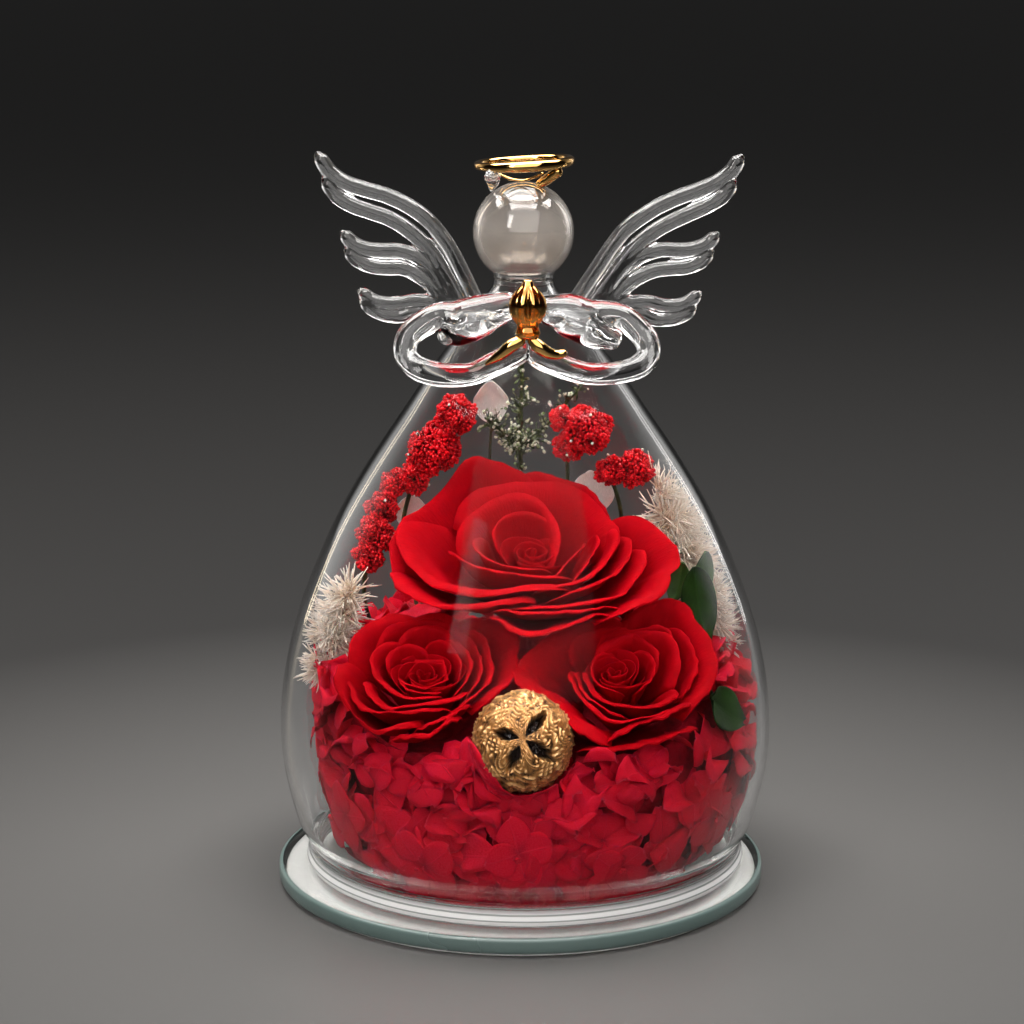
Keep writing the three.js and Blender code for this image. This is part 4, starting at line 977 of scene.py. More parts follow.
# Each rose has its own upright frame: angle 0 is its right, 90 its back, -90 its front.
# A petal is its rim, as rows of angle, radius and height, and the width of its turned-out lip.
# The first petals stand for the petals of the same number; the rest belong to the heart.
ROSES = {
    "rose_top": dict(
        centre=(3, -8, 85.5), tilt=26, base=(3.5, -11.5), skirt=(10, -15.2), reach=35.5, petals=[
            ([(185, 8.5, -1), (150, 11, 0), (118, 12.4, 0.4), (85, 11.4, 0.2), (50, 8.5, -0.6),
              (25, 7, -1.6)], 1.2),
            ([(176, 21, -1), (188, 19.5, -0.6), (206, 16, -0.5), (228, 12.8, -0.5), (262, 11.6, -0.3),
              (295, 12.6, -0.4), (318, 14.6, -1)], 2.0),
            ([(34, 20.5, -1), (14, 21, 0), (-8, 19.4, 0.2), (-28, 18.3, 0), (-48, 17.6, -0.2),
              (-70, 16, -0.6), (-92, 14.6, -1.6)], 2.6),
            ([(150, 23.6, -1), (128, 25.7, 0.2), (108, 24.6, 0.4), (88, 23.5, 0.6), (70, 23.9, 0.6),
              (52, 22.6, 0.4), (33, 21.4, 0), (14, 21.8, -0.4), (0, 20, -1.4)], 5.0),
            ([(148, 28, -1), (160, 31.6, 0), (174, 32.7, 0.2), (189, 31.2, 0), (205, 29, -0.2),
              (219, 26.1, 0), (236, 22.2, 0), (260, 17.9, 0.2), (285, 16.8, 0), (306, 17.4, -0.6)], 6.5),
            ([(-118, 25, -2.4), (-106, 27.4, -2), (-92, 30.6, -2.4), (-78, 28.6, -2.2), (-62, 28.4, -1.6),
              (-46, 31, -1.8)], 3.0),
            ([(194, 34.8, -1.4), (180, 34.2, 0), (164, 33, 0), (150, 29.8, 0.3), (134, 30.2, 1.6),
              (117, 34, 3.6), (108, 30.8, 3), (98, 28, 1.6), (86, 26, 0)], 4.0),
            ([(36, 23, -1), (25, 28.2, 0), (7, 31.1, 0.2), (-9, 35.2, 0), (-20, 34.2, 0.2), (-33, 34.8, 0),
              (-45, 32.2, -0.4), (-60, 29.5, -1.4)], 5.0),
            ([(188, 35.4, -1.6), (201, 34.8, -1), (213, 34, -0.8), (224, 31.7, -0.6), (235, 28.1, -0.4),
              (248, 24.2, -0.2), (258, 21, -0.2), (272, 18.6, -0.6)], 5.5),
            ([(104, 27, -1), (89, 28.4, 0.4), (75, 26.6, 0.2), (62, 26, 0), (47, 24, -0.2),
              (31, 23.6, -1)], 2.5),
            ([(20, 22, -1), (2, 23.6, 0.1), (-17, 22.9, 0.2), (-38, 21.7, 0), (-54, 19.6, -0.2),
              (-80, 18.6, -1)], 1.8),
            ([(6, 25, -1), (-8, 27.1, 0.1), (-26, 27.2, 0.1), (-44, 27.6, -0.2), (-62, 24.4, -0.4),
              (-86, 22, -1), (-108, 21.4, -1.4)], 2.2),
            ([(-116, 24.4, -0.8), (-98, 25.1, -0.3), (-76, 25.3, -0.3), (-56, 27.6, -0.6),
              (-44, 29.6, -1.4)], 1.8),
            ([(182, 18.6, -1.4), (166, 19, -0.2), (150, 18.6, 0.4), (128, 18.4, 1), (106, 18.9, 1.4),
              (88, 16.6, 1.4), (68, 11.6, 1), (38, 8, 0.2), (8, 6.4, -0.4), (-52, 7, -1.8)], 3.4),
            ([(-66, 11.4, -1.2), (-44, 10.4, -0.6), (-26, 10.3, -0.2), (-8, 11.8, 0.2),
              (9, 13.2, 0.8)], 1.0),
            ([(-60, 15.6, -2), (-36, 14, -1.2), (-14, 14.4, -0.8), (8, 15.8, -0.6), (28, 17, -1)], 1.0),
            ([(150, 14, -1), (175, 14.5, -0.8), (205, 11.6, -0.8), (235, 9, -0.8), (275, 8, -1.2),
              (310, 8.4, -1.8)], 1.4),
        ]),
    "rose_left": dict(
        centre=(-22.4, -30, 61), tilt=31, base=(2.6, -9.5), skirt=(7.6, -15.5), reach=21.6, petals=[
            ([(179, 5.9, -0.8), (-152, 6.8, -0.4), (-130, 7.3, -0.4), (-104, 7.8, -0.3), (-78, 8, -0.5),
              (-50, 7.4, -1)], 1.0),
            ([(84, 9.6, -1), (58, 10.6, -0.2), (34, 11, 0), (10, 10.8, 0), (-15, 10.6, -0.2),
              (-44, 9.8, -1)], 1.0),
            ([(112, 10, -1), (130, 11.8, 0), (150, 12.5, 0.2), (172, 12.8, 0), (196, 11.6, 0),
              (222, 10.4, 0), (251, 10.4, 0), (281, 9.2, -0.3), (305, 8.6, -1)], 2.2),
            ([(186, 14.2, -0.8), (204, 15, 0), (220, 15.4, 0.1), (236, 15, 0), (256, 12.9, 0.1),
              (280, 11.8, 0), (312, 12.1, -0.2), (338, 11.8, -1)], 2.4),
            ([(74, 17, -1), (58, 18.7, 0), (46, 21.4, 0.2), (36, 23.6, 0.4), (25, 23.2, 0.2), (7, 21.6, 0),
              (-10, 20.6, -0.2), (-26, 18, -0.4), (-46, 16.7, -1)], 4.2),
            ([(163, 18.8, -1), (181, 20.2, 0), (195, 21.4, 0), (210, 22.6, 0), (223, 24.2, -0.2),
              (233, 24.6, -0.2), (243, 23.3, -0.2), (256, 19.2, -0.2), (270, 16.2, -1)], 5.0),
            ([(172, 18.4, -1), (158, 19.2, 0), (142, 19.6, 0.3), (126, 19, 0.2), (112, 18.6, 0.4),
              (100, 17, 0), (86, 17.6, 0.2), (70, 17.6, 0), (54, 17.6, -1)], 4.6),
            ([(176, 18.8, -1), (203, 18.4, -0.2), (218, 18.6, -0.1), (232, 17.8, 0), (247, 15.4, 0),
              (262, 13.9, -0.1), (284, 13.2, -0.4), (304, 13.4, -1)], 1.8),
            ([(66, 15, -1), (44, 16.6, 0), (22, 16, 0.1), (2, 15.6, 0.1), (-20, 15.4, 0),
              (-44, 14.6, -0.3), (-66, 14, -1)], 1.4),
            ([(88, 13, -1), (62, 13.6, 0), (38, 13.6, 0), (14, 13.2, 0), (-12, 13, 0),
              (-40, 12.8, -0.8)], 0.9),
            ([(98, 8.6, -1), (70, 9.4, -0.2), (40, 8.8, 0), (12, 8.4, 0), (-18, 8.8, -0.6)], 0.8),
            ([(-112, 21.6, -1.8), (-98, 21.2, -1), (-84, 19.8, -0.8), (-71, 17.8, -0.6),
              (-54, 16.2, -1)], 2.4),
            ([(-98, 18.4, -1), (-80, 17.2, -0.4), (-62, 15.6, -0.4), (-40, 15.6, -0.8)], 1.6),
            ([(178, 9.4, -1), (152, 9.6, -0.2), (128, 8.8, 0), (104, 7.2, -0.2), (80, 6.6, -1)], 1.6),
            ([(136, 10.4, -1), (112, 12.2, 0.2), (90, 13, 0.5), (68, 12.6, 0.3), (46, 11.4, -1)], 1.8),
            ([(150, 14.6, -1), (126, 15.4, 0), (102, 15.2, 0.2), (78, 15.6, 0.2), (58, 15, -1)], 1.8),
        ]),
    "rose_right": dict(
        centre=(22.2, -30, 61.4), tilt=32, base=(2.6, -9.5), skirt=(7.6, -15.5), reach=22.6, petals=[
            ([(62, 6.4, -1), (36, 8.6, -0.6), (8, 9, -0.6), (-22, 8.8, -0.6), (-54, 8.2, -1)], 1.0),
            ([(172, 7.6, -0.8), (196, 8.2, -0.3), (217, 8.8, 0), (248, 10.8, 0), (273, 12.6, 0.1),
              (296, 15, 0.2), (315, 16.4, 0.4), (330, 16, 0.2), (340, 14.4, -0.6)], 2.2),
            ([(146, 7.2, -1), (122, 7.4, 0), (96, 7.8, 0.3), (72, 10.4, 0.4), (56, 13.2, 0.4),
              (42, 15.2, 0.3), (24, 15.6, 0.2), (4, 15.1, 0), (-20, 14.8, -1)], 3.0),
            ([(170, 10.4, -1), (190, 11, -0.2), (210, 11.7, 0), (228, 12.8, 0), (248, 14.7, 0),
              (266, 17, 0), (287, 17, 0), (308, 18, -0.2), (324, 18.8, -1)], 1.6),
            ([(170, 22, -1), (184, 24, 0.2), (195, 23.4, 0), (206, 20.9, -0.2), (222, 20, -0.2),
              (238, 21, -0.4), (252, 22.4, -0.6), (266, 21.9, -1.2)], 7.2),
            ([(92, 15.6, -1), (79, 16.8, 0.4), (70, 20.1, 1), (60, 23.8, 1.4), (50, 25.2, 1.2),
              (38, 23.6, 0.6), (24, 23.5, 0.2), (8, 23.1, 0), (-10, 22.6, 0), (-26, 21.4, -0.2),
              (-42, 21.2, -1)], 5.0),
            ([(190, 22.6, -1), (178, 22.6, 0), (166, 20.2, 0.2), (150, 17.8, 0.4), (132, 15.8, 0.6),
              (112, 14.6, 0.8), (94, 14.8, 0.6), (76, 15.8, 0)], 6.0),
            ([(-98, 21.6, -1.2), (-86, 19.4, -0.8), (-72, 17.9, -0.4), (-56, 18.6, -0.2),
              (-40, 19.7, -0.2), (-24, 20.6, -1)], 2.6),
            ([(56, 17, -1), (36, 18.6, 0), (14, 18.8, 0), (-8, 18.2, 0), (-30, 17.6, -0.8)], 1.4),
            ([(176, 9.2, -1), (198, 9.8, -0.2), (220, 10.6, -0.1), (242, 12.2, -0.1), (262, 14.2, -0.2),
              (284, 15, -1)], 0.9),
            ([(-116, 23.6, -4.4), (-94, 22.4, -3.8), (-74, 21.8, -3.6), (-54, 22.6, -3.4),
              (-36, 24, -3.8)], 2.6),
            ([(120, 10, -1), (92, 11, 0), (66, 12.6, 0), (44, 17, -0.2), (28, 17, -1)], 1.6),
            ([(80, 5.4, -1.4), (110, 5.4, -1), (150, 5.8, -0.8), (200, 6, -0.8), (250, 6.8, -0.8),
              (290, 7, -1.4)], 0.8),
            ([(108, 9, -1), (88, 10.4, 0.2), (66, 10.8, 0.4), (44, 10.4, 0.2), (22, 10.6, -0.2),
              (0, 10.2, -1)], 1.4),
            ([(160, 12.4, -1), (136, 12.8, 0.2), (110, 11.8, 0.4), (86, 12.4, 0.2),
              (62, 13.4, -0.8)], 1.8),
        ]),
}


def petal_from_rim(rose, rim, lip, rng):
    """Middle surface of a petal that climbs from the rose's base to a rim drawn in its own frame."""
    rows, cols = 16, 31
    line = smooth_line(np.array(rim, float) * [0.35, 1, 1], 8) / [0.35, 1, 1]
    spot = np.linspace(0, len(line) - 1, cols)
    angle, radius, height = (np.interp(spot, range(len(line)), line[:, i]) for i in range(3))
    u = np.linspace(-1, 1, cols)
    phase, waves = rng.uniform(0, TURN, 3), rng.uniform(0.8, 1.3)
    frill = (0.5 * np.sin(u * 7 * waves + phase[0]) + 0.3 * np.sin(u * 15 + phase[1])
             + 0.2 * np.sin(u * 29 + phase[2]))
    big = np.clip(radius / rose["reach"], 0.3, 1)
    radius = radius + frill * 0.32 * big - 1.2 * np.abs(u) ** 7
    height = height + np.roll(frill, 3) * 0.3 * big - 3.2 * np.abs(u) ** 7
    share = np.clip(radius / rose["reach"], 0, 1)
    low_r = lerp(rose["base"][0], rose["skirt"][0], share)
    low_z = lerp(rose["base"][1], rose["skirt"][1], share)
    middle = (angle[0] + angle[-1]) / 2
    low_angle = middle + (angle - middle) * 0.8
    throat = radius - lip
    bends = [
        (low_angle, low_r, low_z),
        (lerp(low_angle, angle, 0.6), lerp(low_r, throat, 0.85), lerp(low_z, height, 0.35)),
        (angle, throat, height - 0.10 * lip + 0.2),
        (angle, radius, height),
    ]
    t = np.linspace(0, 1, rows)[:, None]
    weight = [(1 - t) ** 3, 3 * t * (1 - t) ** 2, 3 * t ** 2 * (1 - t), t ** 3]
    a, r, z = (sum(w * b[i] for w, b in zip(weight, bends)) for i in range(3))
    dimple = 0.25 * np.sin(t * 9 + u * 5 + phase[0]) * np.sin(t * math.pi) * share
    pucker = 0.16 * np.sin(u * 24 + phase[1]) + 0.10 * np.sin(u * 41 + phase[2] + t * 4)
    r = r + dimple + pucker * big * t ** 3
    z = z + 0.35 * np.sin(u * 5 + t * 7 + phase[2]) * share * t
    grid = turned(r, np.radians(a), z)
    return grid if angle[0] < angle[-1] else grid[:, ::-1]


def curl_lip(grid, curl, amount):
    """Rolls the last edge of a petal outwards and down."""
    cols = grid.shape[1]
    tangent = unit(grid[-1] - grid[-3])
    side = unit(np.gradient(grid[-1], axis=0))
    out = unit(np.cross(side, tangent))
    radial = grid[-1].copy()
    radial[:, 2] = -12
    out *= np.sign(np.sum(out * radial, axis=1, keepdims=True) + 1e-9)
    u = np.linspace(-1, 1, cols)
    roll = 0.7 + 0.35 * np.sin(u * 8 + len(grid) + grid[-1, 0, 0]) + 0.2 * np.sin(u * 19 + grid[-1, 0, 1])
    size = (curl * (0.4 + 0.6 * (1 - np.abs(u) ** 3)) * np.maximum(roll, 0.2))[:, None]
    rolled = [grid[-1] + size * (math.sin(q) * tangent + (1 - math.cos(q)) * out)
              for q in np.radians(np.linspace(0, amount, 7))[1:]]
    return np.concatenate([grid, np.array(rolled)])


def place_rose(rose, points):
    return keep_under_glass(about_x(points, rose["tilt"]) + np.array(rose["centre"], float), 0.9)


def swirl_petal(radius, facing, half, top, rng):
    """A small upright petal of the tight heart, wrapped as a spiral."""
    along = np.linspace(0, 1, 10)[:, None]
    across = np.linspace(-1, 1, 21)[None, :]
    lip = along * (1 - 0.2 * across ** 2)
    phase = rng.uniform(0, TURN)
    wave = along ** 2 * np.sin(across * 4 + phase) * 0.3
    r = radius * (1 + 0.28 * across) * (0.6 + 0.4 * lip ** 1.5) + wave
    height = lerp(-10, top, lip) + wave
    a = np.radians(facing + across * half)
    return np.stack([r * np.cos(a) * 1.12, r * np.sin(a) * 0.95, height], axis=-1)


GOLDEN_ANGLE = 137.5
OWN_PETALS = {"rose_top": 8, "rose_left": 6, "rose_right": 6}


class ROSE_DOME_OT_roses(bpy.types.Operator):
    """Three preserved roses, petal by petal"""
    bl_idname = "rose_dome.add_roses"
    bl_label = "Roses"

    def execute(self, context):
        flowers = context.scene.rose_dome_flowers
        thick = flowers.petal_thickness / MM
        for number, (name, rose) in enumerate(ROSES.items()):
            rng = np.random.default_rng(flowers.seed * 10 + number)
            heart = Piece(f"{name}_velvet_heart")
            for k, (rim, lip) in enumerate(rose["petals"]):
                middle = petal_from_rim(rose, rim, lip, rng)
                wide = max(row[1] for row in rim) / rose["reach"]
                middle = curl_lip(middle, lerp(0.12, 0.42, wide), lerp(70, 120, wide))
                grid, tint = place_rose(rose, middle), rng.uniform(0, 0.35)
                if k < OWN_PETALS[name]:
                    petal = Piece(f"{name}_velvet_petal_{k + 1}")
                    petal.sheet(grid, thick, tint=tint)
                    petal.build([rose_velvet()], "rose_petal", f"{name}_petal_{k + 1}")
                else:
                    heart.sheet(grid, thick, tint=tint)
            self.swirl(heart, rose, thick, rng)
            heart.build([rose_velvet()], "rose_petal", f"{name}_heart")
        return {"FINISHED"}

    def swirl(self, heart, rose, thick, rng):
        widest, turns = (7.0, 8) if rose["reach"] > 30 else (7.4, 11)
        for k in range(turns):
            t = k / (turns - 1)
            middle = swirl_petal(lerp(0.8, widest, t), k * GOLDEN_ANGLE + 30,
                                 lerp(115, 70, t) * rng.uniform(0.8, 1.15),
                                 lerp(-2.0, -1.0, t) + rng.uniform(-0.6, 0.3), rng)
            # The heart's small petals take a darker tint range: painted shade in the middle of the rose.
            heart.sheet(place_rose(rose, curl_lip(middle, 0.14, 80)), thick * 0.8, tint=rng.uniform(0.1, 0.5))


def inside_a_rose(points, margin):
    """True where a point lies in the bowl of a rose."""
    found = np.zeros(points.shape[:-1], bool)
    for rose in ROSES.values():
        local = about_x(points - np.array(rose["centre"], float), -rose["tilt"])
        radius = np.hypot(local[..., 0], local[..., 1])
        low_r, low_z = rose["skirt"]
        share = np.clip((radius - low_r) / (rose["reach"] - low_r), 0, 1)
        lip = np.arcsin(share) * 2 / math.pi
        rise = 1 - np.cos(lip * math.pi / 2)
        bowl = lerp(low_z, 0, 0.7 * lip + 0.3 * rise)
        found |= (radius < rose["reach"] + 0.5) & (local[..., 2] > bowl - margin) & (local[..., 2] < 18)
    return found


# Gumnut pod

# Each slit: its direction from the middle, where it starts and ends, and half its width
POD_SLITS = [(50, 1.2, 8.2, 1.6), (165, 1.2, 7.2, 1.5), (-34, 1.0, 9.0, 1.8), (-115, 2.0, 8.2, 1.7)]


POD_LUMPS, POD_WAVES = 46, 14
SLIT_DEPTH = 3.6


class ROSE_DOME_OT_pod(bpy.types.Operator):
    """Crinkled gold seed pod with dark slits"""
    bl_idname = "rose_dome.add_pod"
    bl_label = "Gold pod"

    def execute(self, context):
        rng = seeded(context, 50)
        cols = 192
        polar = np.concatenate([np.linspace(0.004, 0.95, 76), np.linspace(0.95, math.pi - 0.004, 40)[1:]])
        polar = polar[:, None]
        azimuth = np.linspace(0, TURN, cols + 1)[None, :-1]
        x, y = np.sin(polar) * np.cos(azimuth), np.sin(polar) * np.sin(azimuth)
        lumps = np.zeros_like(x)
        for _ in range(POD_LUMPS):
            direction = unit(rng.normal(size=3))
            near = direction[0] * x + direction[1] * y + direction[2] * np.cos(polar)
            lumps += rng.uniform(-0.3, 0.3) * np.exp(-((1 - near) / 0.05))
        warp = np.zeros_like(x)
        for _ in range(POD_WAVES):
            spin, ring = rng.integers(2, 13), rng.uniform(3, 12)
            warp += rng.uniform(0.3, 0.8) * np.sin(azimuth * spin + polar * ring * rng.choice([-1, 1])
                                                   + rng.uniform(0, NEARLY_A_TURN))
        folds = (1 - np.abs(np.sin(polar * 30 + warp * 1.7))) ** 1.5
        broken = np.clip(0.50 + 0.75 * np.sin(azimuth * 23 + warp * 3.0 + polar * 11), 0.08, 1)
        calm = np.clip(np.sin(polar) * 3, 0, 1)
        radius = (POD_RADIUS - 0.75 + lumps * 0.9 + 0.70 * folds * broken * calm
                  - 0.5 * np.exp(-(polar / 0.25) ** 2))
        px, py = radius * x, radius * y
        inside = np.zeros_like(px)
        for angle, start, end, half in POD_SLITS:
            c, s = math.cos(math.radians(angle)), math.sin(math.radians(angle))
            lengthwise = px * c + py * s
            sideways = -px * s + py * c
            t = (lengthwise - (start + end) / 2) / ((end - start) / 2 + 0.3)
            width = half * (1 + 0.08 * np.sin(lengthwise * 4 + angle)) * np.clip(1 - np.abs(t) ** 1.6, 0, 1)
            front = (polar < 1.3) & (np.abs(t) < 1)
            depth = np.where(front, np.clip((width - np.abs(sideways)) / 0.45, 0, 1), 0)
            inside = np.maximum(inside, depth)
        radius = radius - SLIT_DEPTH * inside
        grid = np.stack([radius * x, radius * y, radius * np.cos(polar) * np.ones_like(x)], axis=-1)
        grid = about_x(grid, 90 - POD_ELEVATION) + POD_CENTRE
        pod = Piece("gumnut_pod_gold")
        # raised is the fold height, which gold_paint turns into painted shade in the valleys and painted
        # highlights on the ridges.
        raised = np.clip(folds * broken * 1.3, 0, 1)
        uv = np.stack([np.broadcast_to(azimuth / TURN, x.shape), raised], axis=-1)
        pod.closed(grid, uv, np.clip(inside * 1.6, 0, 1).ravel())
        pod.build([gold_paint()], "gold_pod", "gumnut_pod")
        return {"FINISHED"}


# Hydrangea bed

# Rings of the mound: radius, height, rise towards the back, rise towards both sides
BED_RINGS = [
    (41.5, 5.6, 0, 0), (46.6, 12, 0, 0), (51.6, 22, 0, 0), (53.6, 32, 0, 2), (52.6, 38, 3, 7), (47, 43, 7, 8),
    (39, 46, 10, 6), (26, 50, 13, 2), (12, 61, 6, 0), (4, 66, 0, 0),
]
# Florets that close gaps: step along the rings, and direction
BED_FILL = [(3.5, -114), (3.2, -108), (3.6, -121), (4.0, -59), (3.7, -65), (4.1, -52), (3.4, -95),
            (2.2, -128)]
# Florets of their own on the front: direction, height, size, twist
FLORETS = [(-148, 24, 9, 10), (-119, 17.5, 9.5, 40), (-92, 22.5, 9.5, 15), (-64, 17.5, 9.5, 50),
           (-34, 24, 9, 30)]


BED_STEPS = [0.15, 0.5, 0.85, 1.25, 1.7, 2.25, 2.85, 3.5, 4.15, 4.8, 5.5, 6.2, 7.0]
FLORET_SPACING = 13.9
MISSING_PETALS = 0.12
PETAL_LENGTHS = (7.5, 12.0)
MOUND_DEPTH = 4.6
# Where leaf_lower lies in front of the bed
LEAF_SPOT = np.array([48.4, -27.4, 50])


def bed_point(step, angle):
    """Point of the mound's surface and its outward direction; step counts along the rings."""
    i = min(int(step), len(BED_RINGS) - 2)
    t = step - i

    def ring(k):
        radius, height, back, side = BED_RINGS[k]
        z = height + back * (1 + math.sin(angle)) / 2 + side * math.cos(angle) ** 2
        return np.array([radius * math.cos(angle) + DOME_AXIS, radius * math.sin(angle), z])
    a, b = ring(i), ring(i + 1)
    up = unit(b - a)
    around = np.array([-math.sin(angle), math.cos(angle), 0])
    return lerp(a, b, t), unit(np.cross(around, up)), around, up


def bed_top(x, y):
    """Height of the mound's upper side at a place."""
    angle, radius = math.atan2(y, x), math.hypot(x, y)
    for i in range(4, len(BED_RINGS) - 1):
        if radius >= BED_RINGS[i + 1][0]:
            t = (BED_RINGS[i][0] - radius) / (BED_RINGS[i][0] - BED_RINGS[i + 1][0])
            return bed_point(i + min(max(t, 0), 0.999), angle)[0][2]
    return 66.0


def sepal(base, direction, facing, length, width, cup, fold, rng, rows=8, cols=7):
    """One pressed petal: rounded, a little pointed, folded along its rib and waved at the edge."""
    t = (0.5 - 0.5 * np.cos(math.pi * np.linspace(0.06, 1, rows)))[:, None]
    u = np.linspace(-1, 1, cols)[None, :]
    direction, facing = unit(direction), unit(facing)
    side = unit(np.cross(direction, facing))
    facing = np.cross(side, direction)
    half = width / 2 * (np.sin(math.pi * np.minimum(t, 0.999) ** 1.15) ** 0.55 * 0.95 + 0.05)
    phase = rng.uniform(0, NEARLY_A_TURN, 2)
    wave = 0.13 * length * np.abs(u) ** 2 * np.sin(t * 6.5 + phase[0] + u) * t
    bow = cup * length * (np.sin(math.pi * t * 0.9) * 0.5 - 0.25 * t)
    lift = bow + fold * width * np.abs(u) ** 1.4 * np.sin(math.pi * t) + wave
    twist = rng.uniform(-0.25, 0.25) * t * u * width / 2
    crease = np.abs(np.sin(u * rng.uniform(2.2, 4.5) + t * rng.uniform(-3, 3) + phase[1]))
    twist = twist + (0.05 * length * (1 - crease) + 0.022 * length * np.sin(u * 9 + t * 11 + phase[0])) * t
    return (np.asarray(base)[None, None] + direction * (t * length)[..., None]
            + side * (u * half)[..., None] + facing * (lift + twist)[..., None])


def pull_in(points, limit, give=0.0):
    """Moves what is further from the dome's axis than a limit back to it; a share may stay beyond."""
    x, y = points[..., 0] - DOME_AXIS, points[..., 1]
    radius = np.hypot(x, y)
    scale = np.where(radius > limit, (limit + give * (radius - limit)) / np.maximum(radius, 1e-6), 1.0)
    out = points.copy()
    out[..., 0] = x * scale + DOME_AXIS
    out[..., 1] = y * scale
    return out


def keep_under_glass(points, gap=0.7):
    """Presses what would pass through the dome flat against its inside, and lifts it off the plate."""
    out = pull_in(points, dome_inside(points[..., 2]) - gap)
    out[..., 2] = np.maximum(out[..., 2], PLATE_TOP + 0.3)
    return out


def heap_limit(x, y, z):
    """Radius of the loose heap: drawn in at its foot and front, and nearer the glass on its right."""
    radius = np.maximum(np.hypot(x, y), 1e-6)
    free = np.interp(z, [5, 8, 12, 22, 32, 45], [41, 43.6, 46.6, 51.0, 53.2, 53.8])
    drawn_in = np.interp(z, [8, 14, 24, 34], [0, 1.2, 3.6, 4.6]) * np.clip(-y / radius, 0, 1) ** 2
    return free - drawn_in + 2.4 * x / radius * np.interp(z, [8, 26], [0.3, 1])


def keep_in_bed(points, slack):
    """Pulls petals in to the loose heap's own outline, which leaves a little room to the glass."""
    limit = heap_limit(points[..., 0] - DOME_AXIS, points[..., 1], points[..., 2]) + slack
    return keep_under_glass(pull_in(points, limit, 0.15))


def hides(points, spot, radius):
    """Share of the points that stand before a round thing, seen from a little above the front."""
    tilt = math.radians(POD_ELEVATION)
    axis = np.array([0, -math.cos(tilt), math.sin(tilt)])
    away = points - spot
    along = away @ axis
    off = np.linalg.norm(away - along[..., None] * axis, axis=-1)
    return ((along > -2) & (off < radius)).mean()


def outside_pod(points, gap=0.5):
    """Moves points that lie in the pod out to its skin."""
    away = points - POD_CENTRE
    distance = np.linalg.norm(away, axis=-1, keepdims=True)
    reach = POD_RADIUS + gap
    return np.where(distance < reach, POD_CENTRE + away / np.maximum(distance, 1e-6) * reach, points)


